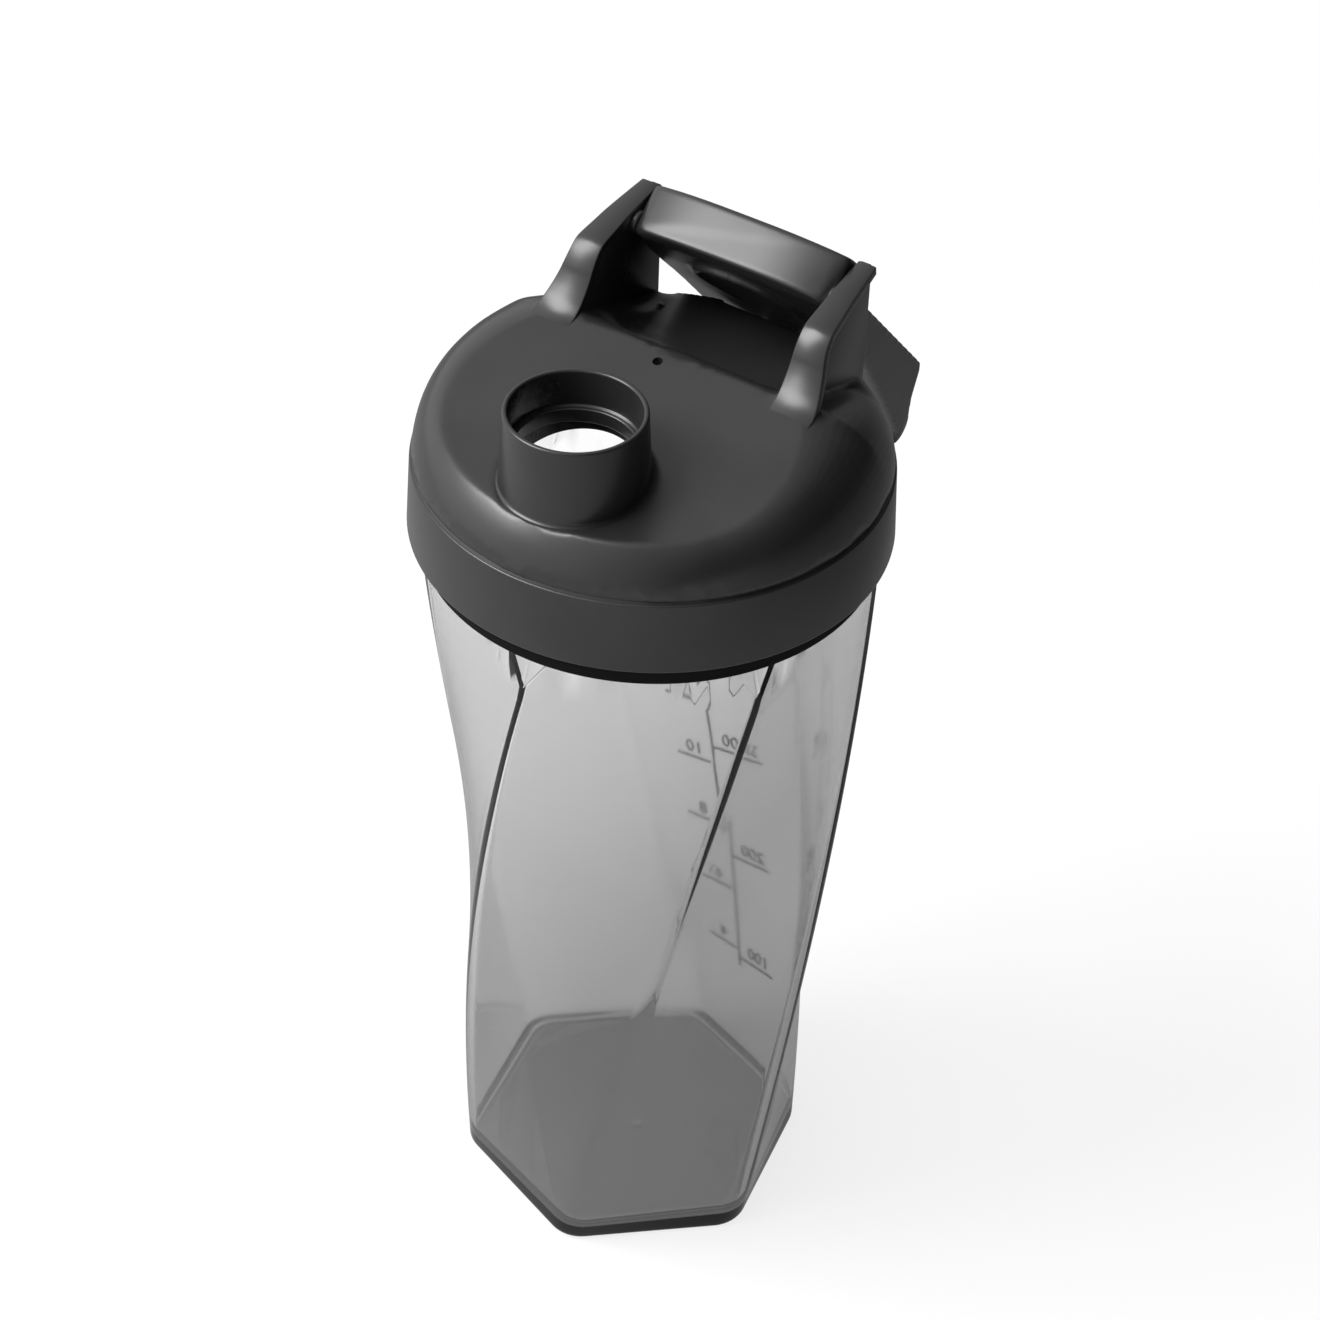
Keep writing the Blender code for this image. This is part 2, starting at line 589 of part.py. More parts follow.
def make_cap_hollow():
    start = TAIL_FRONT + TAIL_RAMP + CAP_SKIN
    end = CAP_LENGTH - CAP_CHIN - CAP_SKIN
    rings = []
    for step in range(6):
        at = start + (end - start) * step / 5
        half = cap_half_width(at) - CAP_SKIN
        rings.append(cap_section(at, CAP_RIM - CAP_SKIN, cap_top(at) - CAP_SKIN, half, CAP_EDGE_ROUND))
    return finish_mesh(loft(rings), "cap_hollow")


def make_plug():
    """Boss that backs the seal, and the short hollow plug that enters the spout."""
    ceiling = cap_top(PLUG_FORWARD) - CAP_SKIN * 0.5
    boss_low = SEAL_HIGH + TOUCH_GAP
    inner = PLUG_RADIUS - PLUG_WALL
    outline = [(inner, ceiling), (BOSS_RADIUS, ceiling), (BOSS_RADIUS, boss_low), (PLUG_RADIUS, boss_low),
               (PLUG_RADIUS, PLUG_BOTTOM + PLUG_EDGE), (PLUG_RADIUS - PLUG_EDGE, PLUG_BOTTOM),
               (inner, PLUG_BOTTOM)]
    return finish_mesh(revolve(outline, SMALL_ROUND_STEPS, (0, -PLUG_FORWARD)), "plug")


def make_grip_ring():
    base = cap_top(GRIP_RING_FORWARD) - CAP_SKIN * 0.5
    high = cap_top(GRIP_RING_FORWARD) + GRIP_RING_RISE
    inner = GRIP_RING_RADIUS - GRIP_RING_WIDTH
    edge = GRIP_RING_RISE * 0.4
    outline = [(inner, high - edge), (inner + edge, high), (GRIP_RING_RADIUS - edge, high),
               (GRIP_RING_RADIUS, high - edge), (GRIP_RING_RADIUS, base), (inner, base)]
    return finish_mesh(revolve(outline, SMALL_ROUND_STEPS, (0, -GRIP_RING_FORWARD)), "grip_ring")


def make_flip_cap(material, hinge):
    cap = make_cap_shell()
    cap.data.materials.append(material)
    bore = make_pin_rod("cap_bore", PIN_RADIUS + PIN_GAP, TAIL_HALF_WIDTH * 1.5, None)
    bore.location = (0, 0, 0)
    hollow = make_cap_hollow()
    seat = make_cylinder("seal_seat", BOSS_RADIUS + TOUCH_GAP, CAP_RIM - CAP_SKIN, SEAL_HIGH + TOUCH_GAP,
                         SMALL_ROUND_STEPS, (0, -PLUG_FORWARD))
    plug = make_plug()
    ring = make_grip_ring()
    boolean(cap, hollow, "DIFFERENCE")
    boolean(cap, seat, "DIFFERENCE")
    boolean(cap, plug, "UNION")
    boolean(cap, ring, "UNION")
    boolean(cap, bore, "DIFFERENCE")
    for piece in (cap, bore, hollow, seat, plug, ring):
        piece.parent = hinge
    return cap


def make_spout_seal(material, hinge):
    """Flat silicone ring round the plug that lands on the spout rim."""
    inner = PLUG_RADIUS + TOUCH_GAP
    outer = BOSS_RADIUS
    outline = [(inner, SEAL_HIGH), (outer, SEAL_HIGH), (outer, SEAL_LOW + SEAL_EDGE),
               (outer - SEAL_EDGE, SEAL_LOW), (inner + SEAL_EDGE, SEAL_LOW), (inner, SEAL_LOW + SEAL_EDGE)]
    seal = finish_mesh(revolve(outline, SMALL_ROUND_STEPS, (0, -PLUG_FORWARD)), "spout_seal", material)
    seal.parent = hinge
    return seal


def make_hinge():
    """Empty on the hinge axis; its turn lays the cap back behind the lid."""
    hinge = bpy.data.objects.new("cap_hinge", None)
    bpy.context.scene.collection.objects.link(hinge)
    hinge.location = HINGE
    hinge.rotation_euler = (-OPEN_ANGLE, 0, 0)
    return hinge


def main():
    clear_scene()
    smoke = plastic("smoke_clear_plastic", (0.32, 0.32, 0.33), 0.12, alpha=0.55, transmission=0.85)
    black = plastic("black_lid_plastic", (0.028, 0.028, 0.029), 0.42)
    black_cap = plastic("black_cap_plastic", (0.03, 0.03, 0.031), 0.40)
    silicone = plastic("grey_silicone", (0.10, 0.10, 0.105), 0.62)
    make_bottle(smoke)
    make_lid(black)
    make_gasket(silicone)
    make_vent_valve(silicone)
    make_pin_rod("hinge_pin", PIN_RADIUS, FIN_INNER_X + PIN_SEAT_DEPTH - TOUCH_GAP, steel("pin_steel"))
    hinge = make_hinge()
    make_flip_cap(black_cap, hinge)
    make_spout_seal(silicone, hinge)


main()
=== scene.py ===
# Looks of the shaker bottle: smoke-clear twisted body, black satin lid and flip cap, studio light, camera.
# Metres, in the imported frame: origin under the base, +Z up, spout towards -Y, hinge axis along X.
import math

import bmesh
import bpy
from mathutils import Matrix, Vector
from mathutils.bvhtree import BVHTree


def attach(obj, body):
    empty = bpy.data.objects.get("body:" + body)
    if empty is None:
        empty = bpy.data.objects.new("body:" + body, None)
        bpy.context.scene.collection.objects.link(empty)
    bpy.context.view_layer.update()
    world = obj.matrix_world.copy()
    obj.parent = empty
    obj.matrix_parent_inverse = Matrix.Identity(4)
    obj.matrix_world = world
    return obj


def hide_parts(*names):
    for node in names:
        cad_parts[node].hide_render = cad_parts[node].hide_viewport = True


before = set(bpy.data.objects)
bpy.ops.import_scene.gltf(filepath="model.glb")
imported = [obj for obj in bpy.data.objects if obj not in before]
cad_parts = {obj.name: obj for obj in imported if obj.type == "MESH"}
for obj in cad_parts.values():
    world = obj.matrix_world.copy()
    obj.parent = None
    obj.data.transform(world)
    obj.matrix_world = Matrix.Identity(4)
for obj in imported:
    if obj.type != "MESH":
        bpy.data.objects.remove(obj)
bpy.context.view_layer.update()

MM = 0.001

# Bottle
FLAT_SHARE = math.cos(math.radians(30))     # distance to a flat of a hexagon for each unit of corner radius
BASE_CORNER_RADIUS = 37.8 * MM
SHOULDER_CORNER_RADIUS = 44.7 * MM
SHOULDER_HEIGHT = 160.6 * MM
TWIST = math.radians(50.3)
SHOULDER_CORNER_ANGLE = math.radians(-88.7)
BASE_CORNER_ROUND = 8.0 * MM
SHOULDER_CORNER_ROUND = 1.3 * MM
LEAST_INNER_ROUND = 0.4     # share of a corner's round that its inner side keeps at least
NECK_WALL = 2.3 * MM
BODY_WALL = 1.7 * MM
BOTTLE_FLOOR = 4.0 * MM
BASE_EDGE_ROUND = 1.6 * MM
INNER_EDGE_ROUND = 2.6 * MM
CHAMFER_RISE = 10.9 * MM
LEDGE_RISE = 2.2 * MM
NECK_RADIUS = 41.0 * MM
NECK_ROOT = 171.5 * MM
NECK_TOP = 184.5 * MM
NECK_LIP_ROUND = 0.8 * MM
CORNER_STEPS = 9
PANEL_STEPS = 12
BODY_ROWS = 60

# Scale on one of the panels, and the gate mark inside on the floor
MARK_PANEL_TURN = math.radians(210)
MARK_RISE = 0.35 * MM
MARK_ROOT = 0.05 * MM       # how deep a bar starts in the wall
MARK_WIDTH = 0.5 * MM
MARK_CREST = 0.7            # width of a bar's crest as a share of its foot
MARK_LINE = (28.0 * MM, 146.0 * MM)
MARK_LINE_PARTS = 60
MARK_BAR_PARTS = 6
FIGURE_SIZE = 4.2 * MM
FIGURE_RISE = 2.6 * MM      # from a bar up to the middle of its figures
FIGURE_LIFT = 0.45 * MARK_RISE
FIGURE_SMOOTHNESS = 4
OUNCE_MARKS = [(str(4 + 2 * step), (32.6 + 16.5 * step) * MM) for step in range(7)]
MILLILITRE_MARKS = [(str(100 + 100 * step), (30.5 + 28.0 * step) * MM) for step in range(5)]
# Each scale: its marks, then across the panel the start and end of a bar and the middle of the figures
SCALES = ((OUNCE_MARKS, 1.0 * MM, 9.0 * MM, 4.6 * MM), (MILLILITRE_MARKS, -0.2 * MM, -10.0 * MM, -5.8 * MM))
GATE_PLACE = Vector((2.0 * MM, -2.0 * MM, 0.0))
GATE_RADIUS = 1.3 * MM
GATE_RISE = 0.35 * MM
GATE_ROUND = 0.3 * MM
GATE_ROOT = 0.1 * MM
GATE_STEPS = 32

# Lid
RIM_Z = 173.2 * MM
RIM_RADIUS = 47.0 * MM
RIM_ROUND = 0.7 * MM
LIP_Z = 168.7 * MM
LIP_RADIUS = 44.6 * MM
LIP_ROUND = 0.4 * MM
LIP_LAP = 1.0 * MM          # how far the lip reaches up into the band
SKIRT_RADIUS = 43.2 * MM
SEAT_Z = 187.0 * MM
SEAT_LAP = 0.2 * MM         # how far the band reaches up into the crown
SEAT_INNER = 38.0 * MM
ROOF_Z = 191.5 * MM
LID_ROOF = 2.8 * MM
CREASE_Z = 189.0 * MM
CREASE_RADIUS = 46.0 * MM
CREASE_DEPTH = 0.5 * MM
CREASE_HALF_WIDTH = 0.5 * MM
# Upper edge of the band: its round, and the place below it where the side starts to draw in
BAND_EDGE_ROUND = 0.4 * MM
BAND_EDGE_INSET = 0.15 * MM
BAND_SIDE_OUT = 0.3 * MM
BAND_SIDE_DROP = 0.6 * MM
TOP_Z = 198.0 * MM
SWEEP_START_Y = -40.0 * MM
SWEEP_BEND = 20.0 * MM
SWEEP_SLOPE = 0.24
SWEEP_PEAK_Y = 7.5 * MM
SWEEP_BACK_Y = 28.0 * MM
SWEEP_FALL = 0.44
# Radius of the ridge round the top face, every 15 degrees from the spout side to the back
RIDGE = [value * MM for value in (40.4, 40.4, 40.6, 40.6, 39.2, 36.0, 32.0,
                                  28.8, 31.7, 38.0, 40.6, 41.0, 41.0)]
RIDGE_ROUND = 1.3 * MM
RIDGE_BAND = 5.0 * MM       # the skin is kept crisp from this far inside the ridge outwards
RIDGE_FRONT = 75            # the ridge is rounded as far as this angle from the spout side, in degrees
# Roundness of the shoulder at the front and at the sides
SHOULDER_FULLNESS = (2.0 * MM, 0.6 * MM)
SHOULDER_DROP = (0.42, 0.12)
SHOULDER_TUCK = 0.1 * MM
HOLLOW_WALL = 5.0 * MM
HOLLOW_BACK_Y = 7.4 * MM
HOLLOW_SIDE = 105           # behind this angle, in degrees, the hollow grows no wider
TOP_ROWS = 14
SHOULDER_ROWS = 14
LID_STEPS = 180

# Thread between neck and lid
THREAD_STARTS = 3
THREAD_LEAD = 12.0 * MM
THREAD_SWEEP = math.radians(150)
THREAD_RUN_OUT = 0.08       # share of the sweep in which the ridge grows to its full height
THREAD_LEAST = 0.05         # share of the height left at the ends
THREAD_SINK = 0.15          # share of the height that sits in the wall
THREAD_CREST_SHARE = 0.45
THREAD_STEPS = 60
THREAD_Z = 176.0 * MM
THREAD_HALF_WIDTH = 0.85 * MM
NECK_THREAD_CREST = 42.3 * MM
LID_THREAD_CREST = 41.9 * MM

# Spout and vent
SPOUT = Vector((0.0, -26.3 * MM, 0.0))
SPOUT_RADIUS = 13.4 * MM
SPOUT_TOP = 213.8 * MM
SPOUT_DRAFT = 0.6 * MM
SPOUT_BORE = 12.3 * MM
SPOUT_LIP = 0.5 * MM
SPOUT_STEPS = 144
LEDGE_Z = 206.0 * MM
LEDGE_THICKNESS = 3.0 * MM
LEDGE_HOLE_RADIUS = 11.2 * MM
LEDGE_EDGE = 0.35 * MM
BORE_FOOT = 183.7 * MM
BORE_STEPS = 96
FUNNEL_Z = 197.0 * MM       # from here down the room under the spout has its full width
FUNNEL_RADIUS = 14.0 * MM
FUNNEL_BACK = 4.5 * MM
FUNNEL_STEPS = 60
# Round at the foot of the spout: out from its wall, up from the top face
SPOUT_ROOT = [(out * MM, up * MM) for out, up in (
    (0.7, -0.7), (0.55, -0.1), (0.3, 0.08), (0.12, 0.3), (0.03, 0.6), (0.0, 1.0))]
VENT = Vector((-2.4 * MM, 4.2 * MM, 0.0))
VENT_RADIUS = 1.0 * MM
VENT_STEPS = 32

# Fins and the pocket between them
FIN_INNER_X = 22.4 * MM
FIN_THICKNESS = 6.2 * MM
FIN_BACK_THICKNESS = 3.8 * MM
FIN_BACK_Y = 35.0 * MM
FIN_ROOT_Z = 192.2 * MM
FIN_ROOT_Y = 9.0 * MM
FIN_RIBBON = 2.0 * MM
FIN_RECESS = 1.4 * MM
FIN_TUCK = 0.3 * FIN_RIBBON     # how far the plate's edge lies under the ribbon
FIN_PROUD = 0.04 * MM           # how far the plate's inner face stands out from the ribbon's
FIN_FLARE = 2.9 * MM
FIN_FLARE_CURVE = 1.5
FIN_EDGE = 0.35 * MM
FIN_BEND_Y = 14.4 * MM
FIN_BEND_RISE = 20.6 * MM
FIN_CORE_INSET = 0.35 * MM
FIN_PARTS = 5
HUB_RADIUS = 2.5 * MM
HUB_FACE_X = 21.4 * MM
HUB_STEPS = 48
HINGE = Vector((0.0, 26.6 * MM, 217.8 * MM))
# Front edge of the fins: y, height above the front of the top face
FIN_FRONT = [(y * MM, rise * MM) for y, rise in (
    (0.0, 6.9), (4.5, 8.4), (7.0, 10.0), (9.0, 12.3), (10.6, 14.7), (11.4, 16.3), (12.3, 17.8), (13.3, 19.1),
    (14.4, 20.15), (15.2, 20.65), (16.2, 21.0), (18.0, 21.45), (20.5, 22.05), (23.1, 22.7), (28.0, 23.6),
    (34.0, 24.6))]
# Pocket: y, floor above the front of the top face, half width, round between floor and side
POCKET = [[value * MM for value in row] for row in (
    (9.0, 8.5, 20.8, 4.0), (10.2, 7.6, 21.2, 4.5), (11.0, 6.4, 21.7, 5.0), (12.0, 4.9, 22.2, 6.0),
    (14.5, 2.6, 23.0, 8.0), (20.0, -0.4, 23.0, 8.4), (38.0, -0.9, 23.0, 3.4), (41.0, -2.4, 23.0, 3.0),
    (48.5, -11.6, 23.0, 3.0))]
POCKET_CEILING = 232.0 * MM
POCKET_PARTS = 4

# Flip cap and its tail between the fins
TAIL_CORE_HALF_WIDTH = 21.2 * MM
TAIL_HALF_WIDTH = 22.0 * MM
TAIL_REACH = 18.0 * MM
TAIL_FACE = Vector((0.0, -0.58, 0.814))
TAIL_FACE_HEIGHT = 3.0 * MM
TAIL_CROWN = 0.9 * MM
TAIL_ROUND = 2.3 * MM
CAP_SWING = math.radians(225)   # from open, as it stands, to closed, where its walls run along the axes

# Skins and merging
SKIN_GRAIN = 0.53 * MM          # size of the faces of the lid's blended skin
CAP_GRAIN = 0.9 * SKIN_GRAIN
SKIN_REACH = 0.4 * MM           # points of the skin this close to the crisp form go back on it
MERGE_REACH = 0.0005 * MM
CAD_MERGE_REACH = 0.002 * MM

# Finishes
GRAIN_DEPTH = 0.05 * MM
GRAIN_TONES = (0.3, 0.7)        # the part of the noise's range that carries the change of tone
SMOKE_TINT = (0.18, 0.18, 0.17)
SMOKE_DENSITY = 152.0
SMOKE_IOR = 1.45
# Weak specular of the lip, part of its painted shade
LIP_SPECULAR = 0.1
# Painted shade on the bottle's base: its low outer edge is made nearly black and its underside grey
BASE_EDGE_HEIGHT = 4.6 * MM
BASE_EDGE_FADE = 0.4 * MM
BASE_EDGE_PAINTED_SHADE = 0.0006
OUTER_WALL = (0.2 * BASE_CORNER_RADIUS, 0.4 * BASE_CORNER_RADIUS)
UNDERSIDE = (0.4 * MM, 0.2 * MM)
UNDERSIDE_PAINTED_SHADE = 0.38

# Studio
# What the floor shows: share of a set tone, the way it changes, where it starts and ends, first and last tone
FLOOR_SEEN = (0.8, Vector((1.0, 0.0, 0.0)), (-1.0, 1.0), (1.0, 1.0))
# Looked through: painted light and shade, brighter to the left, dimmer from near the bottle to the right
FLOOR_THROUGH_PAINTED_LIGHT = (0.8, Vector((1.0, 0.0, 0.0)), (-0.15, -0.03), (1.4, 0.45))
# Mirrored: painted reflection, lighter to the front and darker to the back
FLOOR_MIRRORED_PAINTED_LIGHT = (0.85, Vector((-0.3, -0.95, 0.0)), (-0.3, 0.3), (0.05, 0.65))
FLOOR_COLOUR = (0.82, 0.82, 0.82, 1.0)
FLOOR_SIZE = 6.0
WHITE = (1.0, 1.0, 1.0, 1.0)
# Light of the surroundings: the side that it comes from, where it starts and ends, first and last strength
WORLD_SIDE = Vector((-0.9, -0.35, 0.25))
WORLD_SPAN = (-0.35, 1.0)
WORLD_STRENGTHS = (0.0, 1.4)
SOFTBOX_AIM = Vector((0.0, 0.0, 0.15))
SOFTBOX_SIDE = Vector((-0.52, -0.44, 0.73))
SOFTBOX_DISTANCE = 1.2
SOFTBOX_SIZE = (0.6, 0.78)
SOFTBOX_POWER = 17.5
OVERHEAD_SIDE = Vector((-0.25, -0.3, 1.0))
OVERHEAD_SPREAD = math.radians(60)
OVERHEAD_STRENGTH = 0.8
CAMERA_PLACE = Vector((0.2721, -0.4238, 0.5621))
CAMERA_RIGHT = Vector((0.8314, 0.5551, 0.0275))
CAMERA_UP = Vector((-0.3757, 0.5249, 0.7638))
CAMERA_FORWARD = Vector((-0.4095, 0.6453, -0.6449))
CAMERA_LENS = 90.0
CAMERA_SENSOR = 36.0


# Mesh helpers

def close_up(bm):
    """Merge points that meet and turn all faces outwards."""
    bmesh.ops.remove_doubles(bm, verts=bm.verts, dist=MERGE_REACH)
    bmesh.ops.recalc_face_normals(bm, faces=bm.faces)
    return bm


def lofted(rings):
    """Skin a row of rings point by point and close both ends."""
    bm = bmesh.new()
    loops = [[bm.verts.new(point) for point in ring] for ring in rings]
    for lower, upper in zip(loops, loops[1:]):
        for a, b, c, d in zip(lower, lower[1:] + lower[:1], upper[1:] + upper[:1], upper):
            bm.faces.new((a, b, c, d))
    bm.faces.new(loops[0])
    bm.faces.new(loops[-1])
    return close_up(bm)


def spun(points, edges_closed, steps):
    """Spin a chain of points once about the Z axis."""
    bm = bmesh.new()
    verts = [bm.verts.new(point) for point in points]
    edges = [bm.edges.new(pair) for pair in zip(verts, verts[1:])]
    if edges_closed:
        edges.append(bm.edges.new((verts[-1], verts[0])))
    bmesh.ops.spin(bm, geom=verts + edges, cent=(0, 0, 0), axis=(0, 0, 1), angle=math.tau, steps=steps,
                   use_merge=True)
    return bm


def turned(profile, steps, centre=Vector()):
    """Turn a profile of (radius, z) points about a vertical axis; it closes on itself or on the axis."""
    bm = spun([(radius, 0, z) for radius, z in profile], profile[0][0] > 0, steps)
    bmesh.ops.translate(bm, verts=bm.verts, vec=centre)
    return close_up(bm)


def turned_rows(rows, steps):
    """Spin one point for each row, then put it where its row says for its angle from the spout side."""
    bm = spun([(0, -1, place) for place in range(len(rows))], False, steps)
    for vert in bm.verts:
        turn = math.atan2(vert.co.x, -vert.co.y)
        radius, z = rows[round(vert.co.z)](abs(math.degrees(turn)))
        vert.co = (radius * math.sin(turn), -radius * math.cos(turn), z)
    return close_up(bm)


def arc(centre, radius, start, end, steps=6):
    """Points of an arc in a profile, angles in degrees."""
    points = []
    for step in range(steps + 1):
        angle = math.radians(start + (end - start) * step / steps)
        points.append((centre[0] + radius * math.cos(angle), centre[1] + radius * math.sin(angle)))
    return points


def eased(a, b, c, d, t):
    """Place on the smooth curve from b to c, with a before them and d after."""
    return b + 0.5 * t * (c - a + t * (2 * a - 5 * b + 4 * c - d + t * (3 * (b - c) + d - a)))


def between(points, parts):
    """Smooth curve through points, each stretch in so many parts."""
    points = [Vector(point) for point in points]
    ends = [2 * points[0] - points[1]] + points + [2 * points[-1] - points[-2]]
    curve = []
    for a, b, c, d in zip(ends, ends[1:], ends[2:], ends[3:]):
        curve += [eased(a, b, c, d, part / parts) for part in range(parts)]
    return curve + [points[-1]]


def limited(value):
    """A share kept between none and all."""
    return min(max(value, 0.0), 1.0)


def scratch(bm):
    """Put a bmesh on an object that only serves to make another."""
    mesh = bpy.data.meshes.new("scratch")
    bm.to_mesh(mesh)
    bm.free()
    obj = bpy.data.objects.new("scratch", mesh)
    bpy.context.scene.collection.objects.link(obj)
    return obj


def evaluated(obj):
    """The mesh of an object with its modifiers, as a bmesh."""
    mesh = bpy.data.meshes.new_from_object(obj.evaluated_get(bpy.context.evaluated_depsgraph_get()))
    bm = bmesh.new()
    bm.from_mesh(mesh)
    return bm


def shaped(forms, cuts=(), grain=None):
    """Forms put together with others cut out of the first, under one even skin if grain is given."""
    obj = scratch(forms[0])
    tools = [scratch(form) for form in cuts]
    for tool in tools:
        modifier = obj.modifiers.new("cut", "BOOLEAN")
        modifier.operation = "DIFFERENCE"
        modifier.solver = "EXACT"
        modifier.object = tool
    result = evaluated(obj)
    for form in forms[1:]:
        mesh = bpy.data.meshes.new("scratch")
        form.to_mesh(mesh)
        result.from_mesh(mesh)
    if grain:
        skinned = scratch(result)
        tools.append(skinned)
        modifier = skinned.modifiers.new("skin", "REMESH")
        modifier.mode = "VOXEL"
        modifier.voxel_size = grain
        result = evaluated(skinned)
    for used in [obj] + tools:
        bpy.data.objects.remove(used)
    return result


def soften(bm, passes, verts=None):
    """Smooth a skin, or only the points given."""
    for _ in range(passes):
        bmesh.ops.smooth_vert(bm, verts=verts or bm.verts, factor=0.5,
                              use_axis_x=True, use_axis_y=True, use_axis_z=True)


def fill_corners(bm, reach, passes, limit=math.radians(10)):
    """Round the inner corners of a skin: smooth the faces within reach of a hollow edge."""
    corner = set()
    for edge in bm.edges:
        if edge.is_manifold and edge.calc_face_angle_signed() < -limit:
            corner.update(edge.verts)
    for _ in range(reach):
        corner.update([edge.other_vert(vert) for vert in corner for edge in vert.link_edges])
    soften(bm, passes, list(corner))
    return corner


def draw_back(verts, form, reach):
    """Put points of a skin that lie close to a crisp form back on it."""
    for vert in verts:
        place, _, _, distance = form.find_nearest(vert.co)
        if distance < reach:
            vert.co = place


def ease_edges(bm, width, limit=math.radians(30)):
    """Round the sharp edges of a form."""
    edges = [edge for edge in bm.edges if edge.is_manifold and edge.calc_face_angle() > limit]
    bmesh.ops.bevel(bm, geom=edges, offset=width, segments=2, profile=0.5, affect="EDGES", material=-1)
    return bm


def add_piece(name, bm, body, material, nodes=(), sharp=None):
    """Make a finished piece that rides on a body; edges over the angle sharp, in degrees, stay sharp."""
    mesh = bpy.data.meshes.new(name)
    bm.to_mesh(mesh)
    bm.free()
    mesh.shade_smooth()
    if sharp:
        mesh.set_sharp_from_angle(angle=math.radians(sharp))
    mesh.materials.append(material)
    piece = bpy.data.objects.new(name, mesh)
    bpy.context.scene.collection.objects.link(piece)
    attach(piece, body)
    if nodes:
        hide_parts(*nodes)
    return piece


# Materials

def make_grain_group():
    """Fine moulded grain and slow tone changes, in object space."""
    group = bpy.data.node_groups.new("moulded_grain", "ShaderNodeTree")
    face = group.interface
    face.new_socket("Grain Scale", in_out="INPUT", socket_type="NodeSocketFloat")
    face.new_socket("Tone Scale", in_out="INPUT", socket_type="NodeSocketFloat")
    face.new_socket("Height", in_out="OUTPUT", socket_type="NodeSocketFloat")
    face.new_socket("Tone", in_out="OUTPUT", socket_type="NodeSocketFloat")
    nodes, links = group.nodes, group.links
    given = nodes.new("NodeGroupInput")
    result = nodes.new("NodeGroupOutput")
    place = nodes.new("ShaderNodeTexCoord")
    for scale, detail, output in (("Grain Scale", 3.0, "Height"), ("Tone Scale", 4.0, "Tone")):
        noise = nodes.new("ShaderNodeTexNoise")
        noise.inputs["Detail"].default_value = detail
        links.new(place.outputs["Object"], noise.inputs["Vector"])
        links.new(given.outputs[scale], noise.inputs["Scale"])
        links.new(noise.outputs["Fac"], result.inputs[output])
    return group


def spread(nodes, start, end, first=0.0, last=1.0):
    """Node that maps the range from start to end on the range from first to last."""
    node = nodes.new("ShaderNodeMapRange")
    node.inputs["From Min"].default_value = start
    node.inputs["From Max"].default_value = end
    node.inputs["To Min"].default_value = first
    node.inputs["To Max"].default_value = last
    return node


def moulded(name, dark, light, rough, grain_scale, tone_scale, bump):
    """Plastic or rubber whose colour and gloss drift a little over a fine moulded grain."""
    material = bpy.data.materials.new(name)
    material.use_nodes = True
    nodes, links = material.node_tree.nodes, material.node_tree.links
    shader = nodes["Principled BSDF"]
    grain = nodes.new("ShaderNodeGroup")
    grain.node_tree = grain_group
    grain.inputs["Grain Scale"].default_value = grain_scale
    grain.inputs["Tone Scale"].default_value = tone_scale
    colours = nodes.new("ShaderNodeValToRGB")
    for stop, position, colour in zip(colours.color_ramp.elements, GRAIN_TONES, (dark, light)):
        stop.position = position
        stop.color = (*colour, 1.0)
    gloss = spread(nodes, *GRAIN_TONES, *rough)
    relief = nodes.new("ShaderNodeBump")
    relief.inputs["Strength"].default_value = bump
    relief.inputs["Distance"].default_value = GRAIN_DEPTH
    links.new(grain.outputs["Tone"], colours.inputs["Fac"])
    links.new(grain.outputs["Tone"], gloss.inputs["Value"])
    links.new(grain.outputs["Height"], relief.inputs["Height"])
    links.new(colours.outputs["Color"], shader.inputs["Base Color"])
    links.new(gloss.outputs["Result"], shader.inputs["Roughness"])
    links.new(relief.outputs["Normal"], shader.inputs["Normal"])
    return material, shader


def tint_plastic(material):
    """Darken the clear plastic with the depth that is looked through."""
    nodes, links = material.node_tree.nodes, material.node_tree.links
    tint = nodes.new("ShaderNodeVolumeAbsorption")
    tint.inputs["Color"].default_value = (*SMOKE_TINT, 1.0)
    tint.inputs["Density"].default_value = SMOKE_DENSITY
    links.new(tint.outputs["Volume"], nodes["Material Output"].inputs["Volume"])


